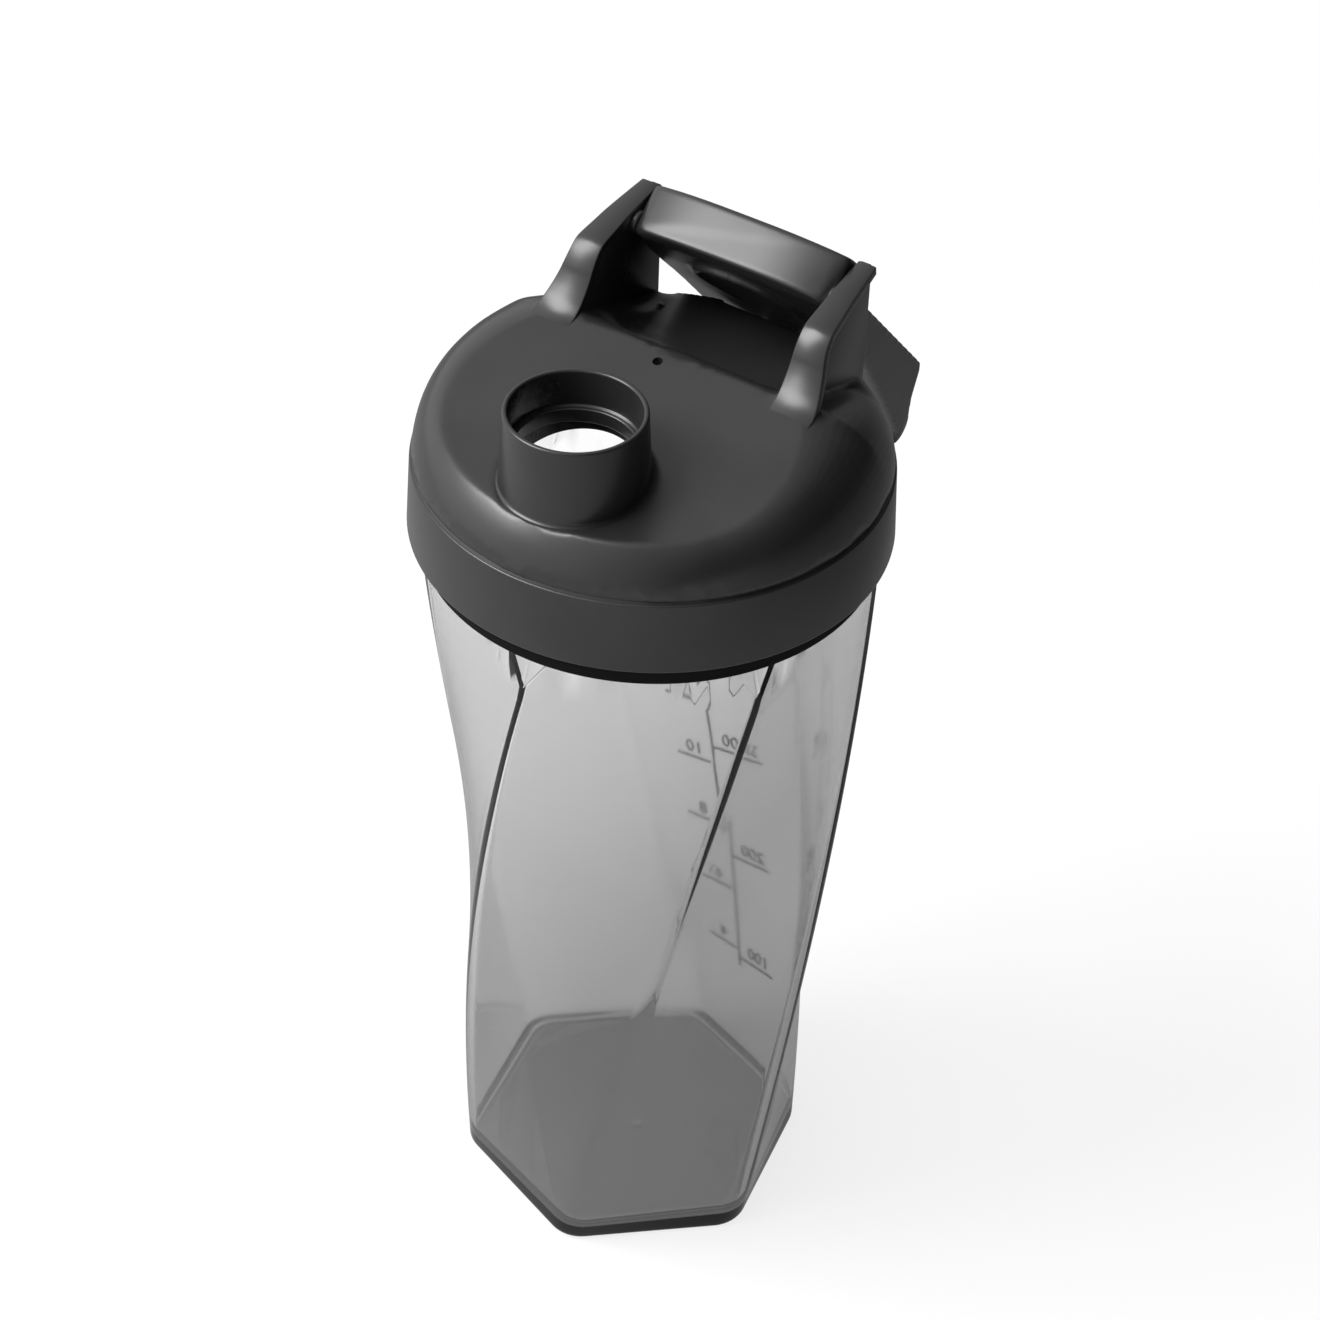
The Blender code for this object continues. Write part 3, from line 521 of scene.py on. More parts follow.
def paint_base_shade(material, shader):
    """Painted shade on the base: the outer wall's low edge, where the thick base lets little light out, is
    made nearly black, and the underside is greyed for the shade under the bottle.
    """
    nodes, links = material.node_tree.nodes, material.node_tree.links
    place = nodes.new("ShaderNodeTexCoord")
    spot = nodes.new("ShaderNodeSeparateXYZ")
    low = spread(nodes, BASE_EDGE_HEIGHT + BASE_EDGE_FADE, BASE_EDGE_HEIGHT)
    facing = nodes.new("ShaderNodeVectorMath")
    facing.operation = "DOT_PRODUCT"
    outside = spread(nodes, *OUTER_WALL)
    edge = nodes.new("ShaderNodeMath")
    edge.operation = "MULTIPLY"
    under = spread(nodes, *UNDERSIDE)
    links.new(place.outputs["Object"], spot.inputs[0])
    links.new(spot.outputs["Z"], low.inputs["Value"])
    links.new(place.outputs["Object"], facing.inputs[0])
    links.new(place.outputs["Normal"], facing.inputs[1])
    links.new(facing.outputs["Value"], outside.inputs["Value"])
    links.new(low.outputs["Result"], edge.inputs[0])
    links.new(outside.outputs["Result"], edge.inputs[1])
    links.new(spot.outputs["Z"], under.inputs["Value"])
    plain = shader.inputs["Base Color"].links[0].from_socket
    # painted shade: the base colour is mixed to near black on the low outer edge and to grey on the underside
    for amount, shade in ((edge.outputs[0], BASE_EDGE_PAINTED_SHADE), (under.outputs["Result"], UNDERSIDE_PAINTED_SHADE)):
        mix = nodes.new("ShaderNodeMix")
        mix.data_type = "RGBA"
        mix.inputs["B"].default_value = (shade, shade, shade, 1.0)
        links.new(amount, mix.inputs["Factor"])
        links.new(plain, mix.inputs["A"])
        plain = mix.outputs["Result"]
    links.new(plain, shader.inputs["Base Color"])


def make_smoke_plastic():
    material, shader = moulded("smoke_clear_plastic", (0.95, 0.95, 0.955), (0.97, 0.97, 0.975),
                               rough=(0.03, 0.07), grain_scale=700.0, tone_scale=25.0, bump=0.02)
    shader.inputs["Transmission Weight"].default_value = 1.0
    shader.inputs["IOR"].default_value = SMOKE_IOR
    tint_plastic(material)
    paint_base_shade(material, shader)
    return material


# The lip's near-black colour and weak specular are painted shade, so that the gap under the band reads dark
def make_lip_shade_plastic():
    material, shader = moulded("black_lip_painted_shade", (0.003, 0.003, 0.003), (0.005, 0.005, 0.005),
                               rough=(0.6, 0.75), grain_scale=2600.0, tone_scale=60.0, bump=0.12)
    shader.inputs["Specular IOR Level"].default_value = LIP_SPECULAR
    return material


def make_pin_steel():
    material, shader = moulded("drawn_steel", (0.56, 0.56, 0.57), (0.66, 0.66, 0.67), rough=(0.24, 0.36),
                               grain_scale=900.0, tone_scale=200.0, bump=0.1)
    shader.inputs["Metallic"].default_value = 1.0
    return material


grain_group = make_grain_group()
black_plastic, _ = moulded("black_satin_plastic", (0.014, 0.014, 0.0143), (0.018, 0.018, 0.0183),
                           rough=(0.27, 0.33), grain_scale=2600.0, tone_scale=60.0, bump=0.12)
cap_plastic, _ = moulded("black_cap_plastic", (0.014, 0.014, 0.0143), (0.018, 0.018, 0.0183),
                         rough=(0.29, 0.35), grain_scale=2600.0, tone_scale=60.0, bump=0.12)
lip_shade_plastic = make_lip_shade_plastic()
mark_plastic, _ = moulded("frosted_marks", (0.72, 0.72, 0.725), (0.8, 0.8, 0.805),
                          rough=(0.45, 0.6), grain_scale=1800.0, tone_scale=80.0, bump=0.1)
silicone, _ = moulded("grey_silicone", (0.085, 0.085, 0.088), (0.11, 0.11, 0.114),
                      rough=(0.52, 0.66), grain_scale=1800.0, tone_scale=80.0, bump=0.2)
pin_steel = make_pin_steel()
smoke_plastic = make_smoke_plastic()


# Bottle

def hexagon(corner_radius, corner_round):
    """Points of a hexagon with rounded corners, first corner at angle zero."""
    points = []
    reach = corner_radius - corner_round / FLAT_SHARE
    rounding = [math.radians(-30 + 60 * step / (CORNER_STEPS - 1)) for step in range(CORNER_STEPS)]
    for corner in range(6):
        middle = math.radians(60 * corner)
        after = math.radians(60 * (corner + 1))
        centre = reach * Vector((math.cos(middle), math.sin(middle)))
        points += [centre + corner_round * Vector((math.cos(middle + turn), math.sin(middle + turn)))
                   for turn in rounding]
        last = points[-1]
        first = reach * Vector((math.cos(after), math.sin(after)))
        first += corner_round * Vector((math.cos(after + rounding[0]), math.sin(after + rounding[0])))
        points += [last.lerp(first, step / PANEL_STEPS) for step in range(1, PANEL_STEPS)]
    return points


def corner_radius_at(z, inset):
    """Distance of the corners from the axis at a height, with the flats moved in by inset."""
    share = min(z / SHOULDER_HEIGHT, 1.0)
    radius = BASE_CORNER_RADIUS + share * (SHOULDER_CORNER_RADIUS - BASE_CORNER_RADIUS)
    return radius - inset / FLAT_SHARE


def body_ring(z, inset):
    """One ring of the twisted body, its flats moved in by inset."""
    share = min(z / SHOULDER_HEIGHT, 1.0)
    spin = Matrix.Rotation(SHOULDER_CORNER_ANGLE - TWIST * (1.0 - share), 2)
    corner_round = BASE_CORNER_ROUND + share * (SHOULDER_CORNER_ROUND - BASE_CORNER_ROUND)
    corner_round = max(corner_round - inset, LEAST_INNER_ROUND * corner_round)
    return [(*(spin @ point), z) for point in hexagon(corner_radius_at(z, inset), corner_round)]


def chamfer_ring(inset):
    """Where the flats end under the neck: low at the corners, high in the middle of each flat."""
    neck = NECK_RADIUS - inset
    corner = corner_radius_at(SHOULDER_HEIGHT, inset)
    ring = []
    for x, y, _ in body_ring(SHOULDER_HEIGHT, inset):
        excess = (math.hypot(x, y) - neck) / (corner - neck)
        ring.append((x, y, NECK_ROOT - max(LEDGE_RISE, excess * CHAMFER_RISE)))
    return ring


def neck_ring(radius, z):
    """Round ring with a point above each point of the body's rings."""
    ring = []
    for x, y, _ in body_ring(SHOULDER_HEIGHT, 0.0):
        scale = radius / math.hypot(x, y)
        ring.append((x * scale, y * scale, z))
    return ring


def make_bottle():
    """Body up the outside, over the mouth and down the inside to the floor."""
    heights = [SHOULDER_HEIGHT * row / BODY_ROWS for row in range(1, BODY_ROWS)]
    inner_neck = NECK_RADIUS - NECK_WALL
    edge = arc((BASE_EDGE_ROUND, BASE_EDGE_ROUND), BASE_EDGE_ROUND, 270, 180)
    rings = [body_ring(z, inset) for inset, z in edge]
    rings += [body_ring(z, 0.0) for z in heights if z > BASE_EDGE_ROUND]
    rings += [chamfer_ring(0.0), neck_ring(NECK_RADIUS, NECK_ROOT)]
    rings += [neck_ring(radius, z) for radius, z in arc(
        (NECK_RADIUS - NECK_LIP_ROUND, NECK_TOP - NECK_LIP_ROUND), NECK_LIP_ROUND, 0, 90)]
    rings += [neck_ring(inner_neck, NECK_TOP), neck_ring(inner_neck, NECK_ROOT), chamfer_ring(BODY_WALL)]
    rings += [body_ring(z, BODY_WALL) for z in reversed(heights) if z > BOTTLE_FLOOR + INNER_EDGE_ROUND]
    hollow = arc((INNER_EDGE_ROUND, INNER_EDGE_ROUND), INNER_EDGE_ROUND, 180, 270)
    rings += [body_ring(BOTTLE_FLOOR + z, BODY_WALL + inset) for inset, z in hollow]
    add_piece("bottle_body", lofted(rings), "bottle", smoke_plastic, ["bottle"], sharp=24)


def on_panel(across, z, out):
    """Point on the outer face of the panel that carries the scale."""
    angle = SHOULDER_CORNER_ANGLE - TWIST * (1.0 - z / SHOULDER_HEIGHT) + MARK_PANEL_TURN
    outward = Vector((math.cos(angle), math.sin(angle), 0.0))
    sideways = Vector((-math.sin(angle), math.cos(angle), 0.0))
    flat = corner_radius_at(z, 0.0) * FLAT_SHARE
    return outward * (flat + out) + sideways * across + Vector((0.0, 0.0, z))


def make_bar(start, end, parts):
    """Raised bar on the scale panel from one (across, z) place to another."""
    start, end = Vector(start), Vector(end)
    along = (end - start).normalized()
    side = 0.5 * MARK_WIDTH * Vector((-along.y, along.x))
    section = ((-1, -MARK_ROOT), (1, -MARK_ROOT), (MARK_CREST, MARK_RISE), (-MARK_CREST, MARK_RISE))
    rings = []
    for part in range(parts + 1):
        middle = start.lerp(end, part / parts)
        rings.append([on_panel(*(middle + share * side), out) for share, out in section])
    return lofted(rings)


def make_figures(text, across, z):
    """Raised figures of the scale, read from outside."""
    curve = bpy.data.curves.new("figures", "FONT")
    curve.body = text
    curve.size = FIGURE_SIZE
    curve.align_x = "CENTER"
    curve.align_y = "CENTER"
    curve.extrude = 0.5 * MARK_RISE
    curve.resolution_u = FIGURE_SMOOTHNESS
    figures = bpy.data.objects.new("figures", curve)
    bpy.context.scene.collection.objects.link(figures)
    bm = evaluated(figures)
    bpy.data.objects.remove(figures)
    for vert in bm.verts:
        vert.co = on_panel(across + vert.co.x, z + vert.co.y, vert.co.z + FIGURE_LIFT)
    return close_up(bm)


def make_marks():
    """Scale on the back panel, ounces on one side of its line and millilitres on the other."""
    low, high = MARK_LINE
    forms = [make_bar((0.0, low), (0.0, high), MARK_LINE_PARTS)]
    for marks, start, end, middle in SCALES:
        for text, z in marks:
            forms.append(make_bar((start, z), (end, z), MARK_BAR_PARTS))
            forms.append(make_figures(text, middle, z + FIGURE_RISE))
    add_piece("scale_marks", shaped(forms), "bottle", mark_plastic, sharp=30)


def make_gate_mark():
    """Low button on the floor where the plastic was let into the mould."""
    root = BOTTLE_FLOOR - GATE_ROOT
    profile = [(0.0, root), (GATE_RADIUS, root)]
    profile += arc((GATE_RADIUS - GATE_ROUND, BOTTLE_FLOOR), GATE_ROUND, 0, 90, 3)
    profile += [(0.0, BOTTLE_FLOOR + GATE_RISE)]
    gate = turned(profile, GATE_STEPS, GATE_PLACE)
    add_piece("gate_mark", gate, "bottle", smoke_plastic, sharp=40)


# Lid

def top_z(y):
    """Height of the sloping top face."""
    run = min(y, SWEEP_PEAK_Y) - SWEEP_START_Y
    fall = SWEEP_FALL * max(min(y, SWEEP_BACK_Y) - SWEEP_PEAK_Y, 0.0)
    if run <= 0:
        return TOP_Z
    if run <= SWEEP_BEND:
        return TOP_Z + 0.5 * SWEEP_SLOPE * run * run / SWEEP_BEND
    return TOP_Z + SWEEP_SLOPE * (run - 0.5 * SWEEP_BEND) - fall


def ridge_radius(angle):
    """Smooth curve through the ridge radii; angle from the spout side, 0 to 180 degrees."""
    last = len(RIDGE) - 1
    place = angle / 180 * last
    low = min(int(place), last - 1)
    near = [RIDGE[last - abs(last - abs(low + step))] for step in (-1, 0, 1, 2)]
    return eased(*near, place - low)


def top_row(share):
    """Row of the top face at a share of the way from its middle to the ridge."""
    def place(angle):
        radius = share * ridge_radius(angle)
        return radius, top_z(-radius * math.cos(math.radians(angle)))
    return place


def shoulder_row(share):
    """Row of the shoulder at a share of the way from the crease up to the ridge."""
    def place(angle):
        radius = ridge_radius(angle)
        turn = math.cos(math.radians(angle))
        ridge = Vector((radius, top_z(-radius * turn)))
        foot = Vector((CREASE_RADIUS - SHOULDER_TUCK, CREASE_Z + CREASE_HALF_WIDTH))
        drop = SHOULDER_DROP[1] + (SHOULDER_DROP[0] - SHOULDER_DROP[1]) * turn * turn
        inset = SHOULDER_FULLNESS[1] + (SHOULDER_FULLNESS[0] - SHOULDER_FULLNESS[1]) * turn * turn
        full = Vector((CREASE_RADIUS - inset, ridge.y - drop * (ridge.y - CREASE_Z)))
        return (1 - share) ** 2 * foot + 2 * share * (1 - share) * full + share ** 2 * ridge
    return place


def ceiling_row(share):
    """Underside of the top face: it follows the slope in front of the pocket and is flat behind."""
    def place(angle):
        radius = share * (ridge_radius(min(angle, HOLLOW_SIDE)) - HOLLOW_WALL)
        y = -radius * math.cos(math.radians(angle))
        return radius, top_z(y) - LID_ROOF if y < HOLLOW_BACK_Y else ROOF_Z
    return place


def fixed_row(radius, z):
    """Row that is the same all round."""
    return lambda angle: (radius, z)


def make_crown_form():
    """Crisp form of the top face, the shoulder, the seat for the gasket and the hollow."""
    rows = [top_row(step / TOP_ROWS) for step in range(TOP_ROWS)]
    rows += [shoulder_row(1 - step / SHOULDER_ROWS) for step in range(SHOULDER_ROWS + 1)]
    foot = CREASE_RADIUS - CREASE_DEPTH
    rows += [fixed_row(foot, CREASE_Z), fixed_row(foot, SEAT_Z), fixed_row(SEAT_INNER, SEAT_Z),
             fixed_row(SEAT_INNER, ROOF_Z)]
    rows += [ceiling_row(1 - step / TOP_ROWS) for step in range(TOP_ROWS + 1)]
    return turned_rows(rows, LID_STEPS)


def make_pocket_form():
    """Room between the fins in which the tail of the cap turns."""
    rings = []
    for y, rise, half, corner in between(POCKET, POCKET_PARTS):
        floor = TOP_Z + rise
        right = arc((half - corner, floor + corner), corner, -90, 0) + [(half, POCKET_CEILING)]
        left = [(-x, z) for x, z in reversed(right)]
        rings.append([(x, y, z) for x, z in right + left])
    return lofted(rings)


def fin_width(y, rise):
    """Thickness of a fin along its front ribbon: wide at the foot, thin at the back."""
    back = max(y - FIN_BEND_Y, 0.0) / (FIN_BACK_Y - FIN_BEND_Y)
    foot = limited((FIN_BEND_RISE - rise) / (FIN_BEND_RISE - FIN_FRONT[1][1]))
    return FIN_THICKNESS + back * (FIN_BACK_THICKNESS - FIN_THICKNESS) + FIN_FLARE * foot ** FIN_FLARE_CURVE


def make_fin_ribbon(side, inset=0.0):
    """Band along the front and upper edge of a fin."""
    curve = between(FIN_FRONT, FIN_PARTS)
    rings = []
    for place, point in enumerate(curve):
        along = (curve[min(place + 1, len(curve) - 1)] - curve[max(place - 1, 0)]).normalized()
        inward = Vector((along.y, -along.x))
        front = point + inset * inward
        back = point + (FIN_RIBBON - inset) * inward
        inner = side * (FIN_INNER_X + inset)
        outer = side * (FIN_INNER_X + fin_width(*point) - inset)
        rings.append([(inner, front.x, TOP_Z + front.y), (outer, front.x, TOP_Z + front.y),
                      (outer, back.x, TOP_Z + back.y), (inner, back.x, TOP_Z + back.y)])
    return lofted(rings)


def make_fin_plate(side, inset=0.0):
    """Upright plate of a fin behind its ribbon, its outer face set back."""
    back = FIN_BACK_Y - inset
    front = [(y + FIN_TUCK, TOP_Z + rise - FIN_TUCK) for y, rise in between(FIN_FRONT[1:], FIN_PARTS)]
    outline = [point for point in front if point[0] < back]
    outline += [(back, outline[-1][1]), (back, FIN_ROOT_Z), (FIN_ROOT_Y, FIN_ROOT_Z)]
    inner = side * (FIN_INNER_X - FIN_PROUD + inset)
    bm = bmesh.new()
    inner_face = bm.faces.new([bm.verts.new((inner, y, z)) for y, z in outline])
    drawn = bmesh.ops.extrude_face_region(bm, geom=[inner_face])["geom"]
    for vert in [item for item in drawn if isinstance(item, bmesh.types.BMVert)]:
        width = fin_width(vert.co.y, FIN_BEND_RISE) - FIN_RECESS
        vert.co.x = side * (FIN_INNER_X + width - inset)
    bmesh.ops.recalc_face_normals(bm, faces=bm.faces)
    return bm


def make_fin_hub(side):
    """Round boss that the tail of the cap turns against."""
    outer = FIN_INNER_X + 0.5 * FIN_BACK_THICKNESS
    bm = turned([(0, HUB_FACE_X), (HUB_RADIUS, HUB_FACE_X), (HUB_RADIUS, outer), (0, outer)], HUB_STEPS)
    ease_edges(bm, FIN_EDGE)
    turn = Matrix.Rotation(side * math.radians(90), 4, "Y")
    bmesh.ops.transform(bm, matrix=Matrix.Translation(HINGE) @ turn, verts=bm.verts)
    return bm


def make_fins():
    """Both fins: plate, ribbon and hub with their edges eased."""
    for side, name in ((-1, "lid_fin_left"), (1, "lid_fin_right")):
        ribbon = ease_edges(make_fin_ribbon(side), FIN_EDGE)
        plate = ease_edges(make_fin_plate(side), FIN_EDGE)
        fin = shaped([plate, ribbon, make_fin_hub(side)])
        add_piece(name, fin, "lid", black_plastic, sharp=35)


def make_bore(centre, radius, steps):
    """Upright drill through the lid's top."""
    profile = [(0, BORE_FOOT), (radius, BORE_FOOT), (radius, SPOUT_TOP), (0, SPOUT_TOP)]
    return turned(profile, steps, centre)


def make_funnel():
    """Room under the spout that opens towards the back."""
    last = 360 - 360 / FUNNEL_STEPS
    rings = []
    for z, radius, back in ((LEDGE_Z - LEDGE_THICKNESS, LEDGE_HOLE_RADIUS, 0.0),
                            (FUNNEL_Z, FUNNEL_RADIUS, FUNNEL_BACK), (BORE_FOOT, FUNNEL_RADIUS, FUNNEL_BACK)):
        circle = arc((SPOUT.x, SPOUT.y + back), radius, 0, last, FUNNEL_STEPS - 1)
        rings.append([(x, y, z) for x, y in circle])
    return lofted(rings)


def around(place):
    """Angle of a place from the spout side, in degrees, and its distance from the lid's axis."""
    return abs(math.degrees(math.atan2(place.x, -place.y))), math.hypot(place.x, place.y)


def kept_crisp(place):
    """True along the ridge and on the shoulder."""
    turn, distance = around(place)
    return distance > ridge_radius(turn) - RIDGE_BAND


def on_ridge(place):
    """True close to the edge between the top face and the shoulder, in front of the fins."""
    turn, distance = around(place)
    radius = ridge_radius(turn)
    ridge_z = top_z(-radius * math.cos(math.radians(turn)))
    return turn < RIDGE_FRONT and math.hypot(distance - radius, place.z - ridge_z) < RIDGE_ROUND


def make_crown():
    """Shoulder, top face, roots of the fins and pocket as one moulded skin."""
    spout_bore = make_bore(SPOUT, 0.5 * (SPOUT_BORE + SPOUT_RADIUS), BORE_STEPS)
    crown = make_crown_form()
    crisp = BVHTree.FromBMesh(crown)
    cores = [make(side, FIN_CORE_INSET) for side in (-1, 1) for make in (make_fin_ribbon, make_fin_plate)]
    skin = shaped([crown] + cores, [make_pocket_form(), spout_bore, make_funnel()], SKIN_GRAIN)
    soften(skin, passes=2)
    corner = fill_corners(skin, reach=5, passes=30)
    soften(skin, passes=1)
    draw_back([vert for vert in skin.verts if vert not in corner and kept_crisp(vert.co)], crisp, SKIN_REACH)
    soften(skin, passes=3, verts=[vert for vert in skin.verts if on_ridge(vert.co)])
    skin = shaped([skin], [make_bore(VENT, VENT_RADIUS, VENT_STEPS)])
    add_piece("lid_crown", skin, "lid", black_plastic, ["lid"], sharp=50)


def make_band():
    """Grip band with its rim, the crease under the shoulder and the seat for the gasket."""
    crease_low = CREASE_Z - CREASE_HALF_WIDTH
    groove = CREASE_RADIUS - CREASE_DEPTH
    profile = [(SKIRT_RADIUS, SEAT_Z + SEAT_LAP), (SKIRT_RADIUS, RIM_Z)]
    profile += arc((RIM_RADIUS - RIM_ROUND, RIM_Z + RIM_ROUND), RIM_ROUND, -90, 0)
    profile += [(CREASE_RADIUS + BAND_SIDE_OUT, crease_low - BAND_SIDE_DROP)]
    profile += arc((CREASE_RADIUS - BAND_EDGE_INSET, crease_low - BAND_EDGE_ROUND), BAND_EDGE_ROUND, 0, 90)
    profile += [(groove, CREASE_Z), (groove, SEAT_Z + SEAT_LAP)]
    add_piece("lid_band", turned(profile, LID_STEPS), "lid", black_plastic, sharp=40)


def make_lip():
    """Inner lip that hangs below the grip band and wipes the bottle's shoulder; its near-black finish is
    painted shade for the gap under the band.
    """
    profile = [(SKIRT_RADIUS, RIM_Z + LIP_LAP)]
    profile += arc((SKIRT_RADIUS + LIP_ROUND, LIP_Z + LIP_ROUND), LIP_ROUND, 180, 270)
    profile += arc((LIP_RADIUS - LIP_ROUND, LIP_Z + LIP_ROUND), LIP_ROUND, -90, 0)
    profile += [(LIP_RADIUS, RIM_Z + LIP_LAP)]
    add_piece("lid_lip", turned(profile, LID_STEPS), "lid", lip_shade_plastic, sharp=40)


def helix(radius, crest, start_angle, start_z):
    """One start of the thread: a low ridge from radius to crest that runs out at both ends."""
    foot = radius - THREAD_SINK * (crest - radius)
    rings = []
    for step in range(THREAD_STEPS + 1):
        share = step / THREAD_STEPS
        angle = start_angle + share * THREAD_SWEEP
        z = start_z + THREAD_LEAD * share * THREAD_SWEEP / math.tau
        height = max(min(share, 1.0 - share) / THREAD_RUN_OUT, THREAD_LEAST)
        top = radius + (crest - radius) * min(height, 1.0)
        section = [(foot, -1.0), (top, -THREAD_CREST_SHARE), (top, THREAD_CREST_SHARE), (foot, 1.0)]
        rings.append([(out * math.cos(angle), out * math.sin(angle), z + up * THREAD_HALF_WIDTH)
                      for out, up in section])
    return lofted(rings)


def make_threads():
    """The starts on the neck and as many in the lid, half a pitch lower."""
    starts = [math.tau * start / THREAD_STARTS for start in range(THREAD_STARTS)]
    neck = shaped([helix(NECK_RADIUS, NECK_THREAD_CREST, angle, THREAD_Z) for angle in starts])
    add_piece("bottle_thread", neck, "bottle", smoke_plastic, sharp=30)
    lower = THREAD_Z - 0.5 * THREAD_LEAD / THREAD_STARTS
    lid = shaped([helix(SKIRT_RADIUS, LID_THREAD_CREST, angle, lower) for angle in starts])
    add_piece("lid_thread", lid, "lid", black_plastic, sharp=30)


def make_spout():
    """Drinking spout with its inner ledge; its foot is drawn at zero and then set on the sloping top face."""
    under = LEDGE_Z - LEDGE_THICKNESS
    profile = [(SPOUT_RADIUS + SPOUT_DRAFT + out, up) for out, up in SPOUT_ROOT]
    profile += arc((SPOUT_RADIUS - SPOUT_LIP, SPOUT_TOP - SPOUT_LIP), SPOUT_LIP, 0, 90)
    profile += arc((SPOUT_BORE + SPOUT_LIP, SPOUT_TOP - SPOUT_LIP), SPOUT_LIP, 90, 180)
    profile += [(SPOUT_BORE, LEDGE_Z + LEDGE_EDGE), (SPOUT_BORE - LEDGE_EDGE, LEDGE_Z)]
    profile += arc((LEDGE_HOLE_RADIUS + LEDGE_EDGE, LEDGE_Z - LEDGE_EDGE), LEDGE_EDGE, 90, 180)
    profile += arc((LEDGE_HOLE_RADIUS + LEDGE_EDGE, under + LEDGE_EDGE), LEDGE_EDGE, 180, 270)
    profile += [(SPOUT_BORE, under), (SPOUT_BORE, SPOUT_ROOT[0][1])]
    bm = turned(profile, SPOUT_STEPS, SPOUT)
    for vert in bm.verts:
        if vert.co.z < 0.5 * TOP_Z:
            vert.co.z += top_z(vert.co.y)
    add_piece("lid_spout", bm, "lid", black_plastic, sharp=40)


# Flip cap

def fuller_tail(place):
    """Widen the tail of the cap up to the fins and round its upper face towards both ends."""
    arm = math.hypot(place.y - HINGE.y, place.z - HINGE.z)
    share = limited((TAIL_REACH - arm) / (0.5 * TAIL_REACH))
    wide = place.x * (1.0 + share * (TAIL_HALF_WIDTH / TAIL_CORE_HALF_WIDTH - 1.0))
    height = TAIL_FACE.dot(place - HINGE)
    upper = limited(height / TAIL_FACE_HEIGHT) * share
    outward = limited(abs(wide) / TAIL_HALF_WIDTH)
    moved = place + upper * (TAIL_CROWN - TAIL_ROUND * outward ** 3) * TAIL_FACE
    return Vector((wide, moved.y, moved.z))


def make_cap():
    """Skin of the flip cap with its edges eased, made on the closed cap and swung open again."""
    form = bmesh.new()
    form.from_mesh(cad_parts["flip_cap"].data)
    bmesh.ops.remove_doubles(form, verts=form.verts, dist=CAD_MERGE_REACH)
    closing = Matrix.Translation(HINGE) @ Matrix.Rotation(CAP_SWING, 4, "X") @ Matrix.Translation(-HINGE)
    bmesh.ops.transform(form, matrix=closing, verts=form.verts)
    form = shaped([form], grain=CAP_GRAIN)
    soften(form, passes=5)
    bmesh.ops.transform(form, matrix=closing.inverted(), verts=form.verts)
    for vert in form.verts:
        vert.co = fuller_tail(vert.co)
    add_piece("flip_cap_shell", form, "cap", cap_plastic, ["flip_cap"])


def dress_node(name, material):
    """Give a piece that is kept from the frame its finish."""
    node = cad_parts[name]
    node.data.materials.clear()
    node.data.materials.append(material)


# Studio

def towards(nodes, links, source, side):
    """How far a place lies towards one side."""
    measure = nodes.new("ShaderNodeVectorMath")
    measure.operation = "DOT_PRODUCT"
    measure.inputs[1].default_value = side
    links.new(source, measure.inputs[0])
    return measure.outputs["Value"]


def toned(nodes, links, look, mask, tones):
    """Mix a glowing tone into the floor's look for one kind of ray; where it changes across the floor it is
    painted light and shade.
    """
    share, side, span, strengths = tones
    place = nodes.new("ShaderNodeTexCoord")
    tone = spread(nodes, *span, *strengths)
    glow = nodes.new("ShaderNodeEmission")
    amount = nodes.new("ShaderNodeMath")
    amount.operation = "MULTIPLY"
    amount.inputs[1].default_value = share
    blend = nodes.new("ShaderNodeMixShader")
    links.new(towards(nodes, links, place.outputs["Object"], side), tone.inputs["Value"])
    links.new(tone.outputs["Result"], glow.inputs["Strength"])
    links.new(mask, amount.inputs[0])
    links.new(amount.outputs[0], blend.inputs[0])
    links.new(look, blend.inputs[1])
    links.new(glow.outputs[0], blend.inputs[2])
    return blend.outputs[0]


def make_floor_material():
    """Matt white that keeps the shadow, with a set tone for what is seen, mirrored and looked through; the
    last two are painted light that changes across the floor.
    """
    material = bpy.data.materials.new("white_floor")
    material.use_nodes = True
    nodes, links = material.node_tree.nodes, material.node_tree.links
    nodes.remove(nodes["Principled BSDF"])
    matt = nodes.new("ShaderNodeBsdfDiffuse")
    matt.inputs["Color"].default_value = FLOOR_COLOUR
    look = matt.outputs[0]
    path = nodes.new("ShaderNodeLightPath")
    mirrored = nodes.new("ShaderNodeMath")
    mirrored.operation = "SUBTRACT"
    mirrored.use_clamp = True
    links.new(path.outputs["Is Glossy Ray"], mirrored.inputs[0])
    links.new(path.outputs["Is Transmission Ray"], mirrored.inputs[1])
    for mask, tones in ((path.outputs["Is Camera Ray"], FLOOR_SEEN), (mirrored.outputs[0], FLOOR_MIRRORED_PAINTED_LIGHT),
                        (path.outputs["Is Transmission Ray"], FLOOR_THROUGH_PAINTED_LIGHT)):
        look = toned(nodes, links, look, mask, tones)
    links.new(look, nodes["Material Output"].inputs["Surface"])
    return material


def make_floor():
    """Plain floor that the bottle stands on."""
    bm = bmesh.new()
    bmesh.ops.create_grid(bm, x_segments=1, y_segments=1, size=FLOOR_SIZE)
    mesh = bpy.data.meshes.new("floor")
    bm.to_mesh(mesh)
    bm.free()
    mesh.materials.append(make_floor_material())
    floor = bpy.data.objects.new("floor", mesh)
    bpy.context.scene.collection.objects.link(floor)


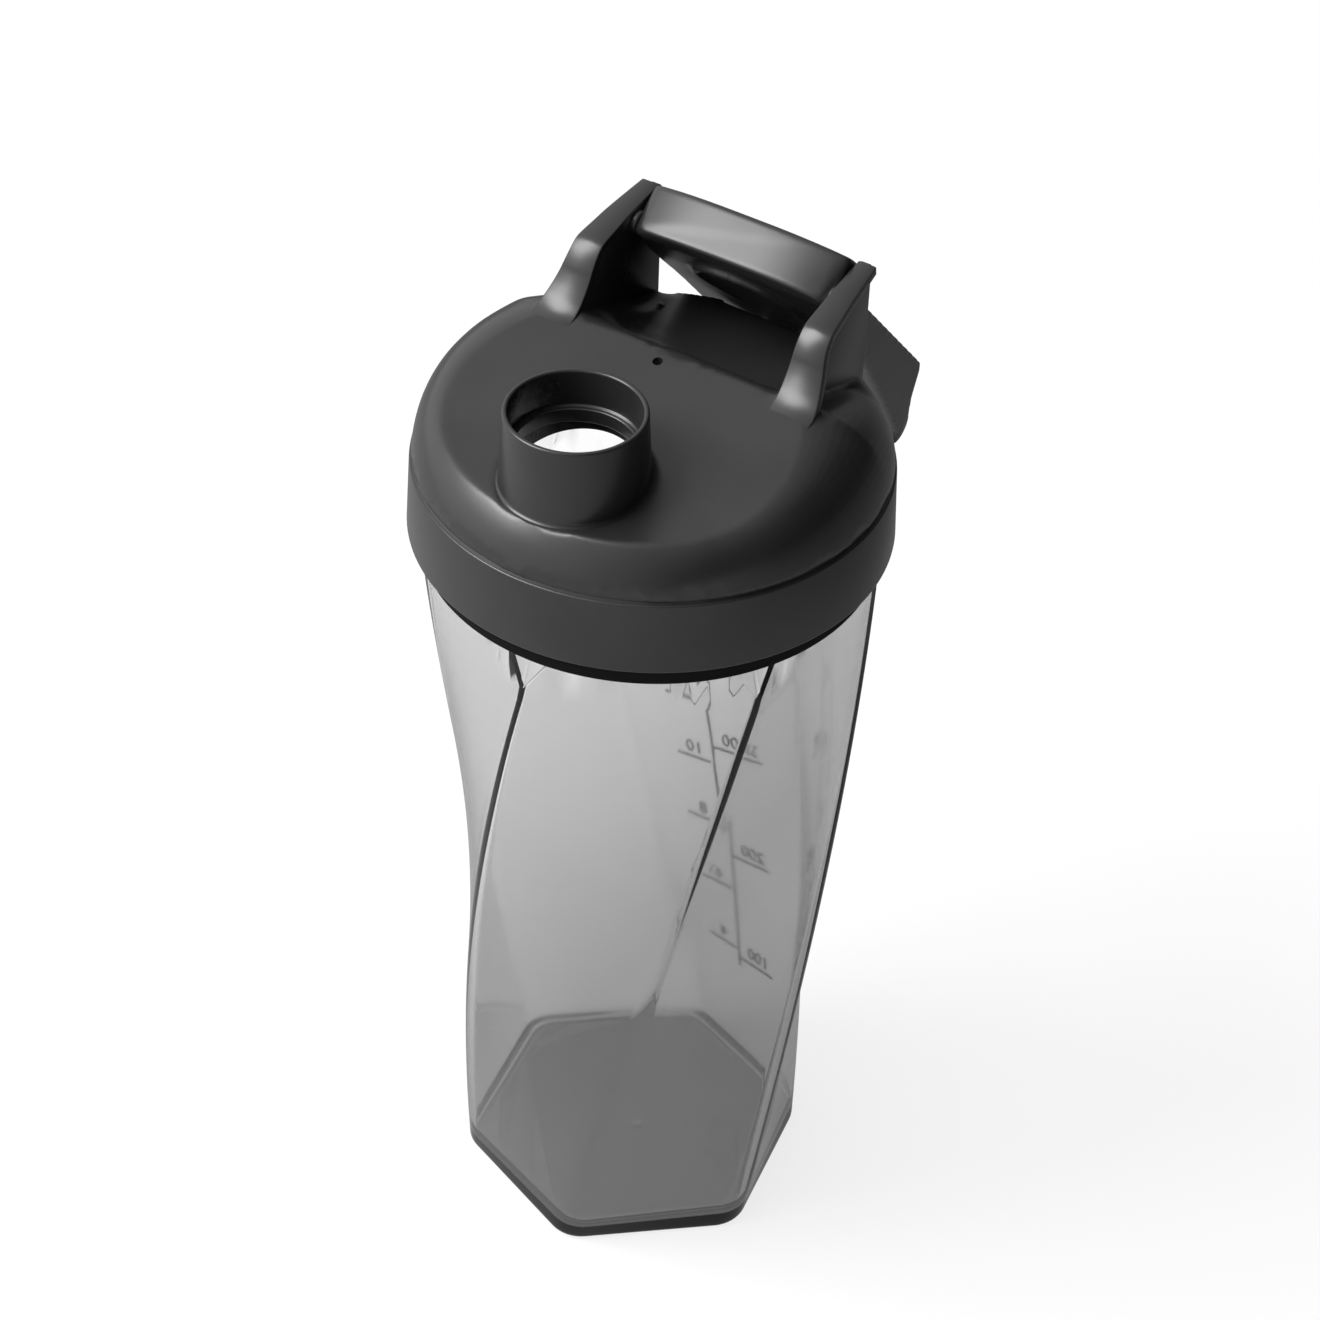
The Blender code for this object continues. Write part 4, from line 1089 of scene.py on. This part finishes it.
def make_world():
    """White backdrop; the light that it gives comes mostly from the upper left."""
    world = bpy.data.worlds.new("studio")
    bpy.context.scene.world = world
    world.use_nodes = True
    nodes, links = world.node_tree.nodes, world.node_tree.links
    place = nodes.new("ShaderNodeTexCoord")
    ramp = spread(nodes, *WORLD_SPAN, *WORLD_STRENGTHS)
    light = nodes["Background"]
    light.inputs["Color"].default_value = WHITE
    backdrop = nodes.new("ShaderNodeBackground")
    backdrop.inputs["Color"].default_value = WHITE
    blend = nodes.new("ShaderNodeMixShader")
    path = nodes.new("ShaderNodeLightPath")
    direct = nodes.new("ShaderNodeMath")
    direct.operation = "MAXIMUM"
    side = towards(nodes, links, place.outputs["Generated"], WORLD_SIDE.normalized())
    links.new(side, ramp.inputs["Value"])
    links.new(ramp.outputs["Result"], light.inputs["Strength"])
    links.new(path.outputs["Is Camera Ray"], direct.inputs[0])
    links.new(path.outputs["Is Transmission Ray"], direct.inputs[1])
    links.new(direct.outputs[0], blend.inputs[0])
    links.new(light.outputs[0], blend.inputs[1])
    links.new(backdrop.outputs[0], blend.inputs[2])
    links.new(blend.outputs[0], nodes["World Output"].inputs["Surface"])


def make_softbox():
    """Tall soft light in front on the left."""
    lamp = bpy.data.lights.new("softbox", "AREA")
    lamp.shape = "RECTANGLE"
    lamp.size, lamp.size_y = SOFTBOX_SIZE
    lamp.energy = SOFTBOX_POWER
    holder = bpy.data.objects.new("softbox", lamp)
    holder.location = SOFTBOX_AIM + SOFTBOX_DISTANCE * SOFTBOX_SIDE.normalized()
    holder.rotation_euler = SOFTBOX_SIDE.to_track_quat("Z", "Y").to_euler()
    holder.visible_camera = False
    holder.visible_transmission = False
    bpy.context.scene.collection.objects.link(holder)


def make_overhead_light():
    """Broad light from above that gives the soft shadow on the floor."""
    lamp = bpy.data.lights.new("overhead_light", "SUN")
    lamp.energy = OVERHEAD_STRENGTH
    lamp.angle = OVERHEAD_SPREAD
    holder = bpy.data.objects.new("overhead_light", lamp)
    holder.rotation_euler = OVERHEAD_SIDE.to_track_quat("Z", "Y").to_euler()
    holder.visible_glossy = False
    bpy.context.scene.collection.objects.link(holder)


def make_camera():
    """Camera of the photo: its place, and the ways that are right, up and forward in its picture."""
    camera = bpy.data.cameras.new("photo_camera")
    camera.sensor_width = CAMERA_SENSOR
    camera.lens = CAMERA_LENS
    holder = bpy.data.objects.new("photo_camera", camera)
    turn = Matrix((CAMERA_RIGHT, CAMERA_UP, -CAMERA_FORWARD)).transposed().to_4x4()
    holder.matrix_world = Matrix.Translation(CAMERA_PLACE) @ turn
    bpy.context.scene.collection.objects.link(holder)
    bpy.context.scene.camera = holder


make_bottle()
make_marks()
make_gate_mark()
make_crown()
make_fins()
make_band()
make_lip()
make_threads()
make_spout()
make_cap()
for node_name in ("lid_gasket", "vent_valve", "spout_seal"):
    dress_node(node_name, silicone)
dress_node("hinge_pin", pin_steel)
make_floor()
make_world()
make_softbox()
make_overhead_light()
make_camera()
bpy.context.scene.view_settings.view_transform = "Standard"
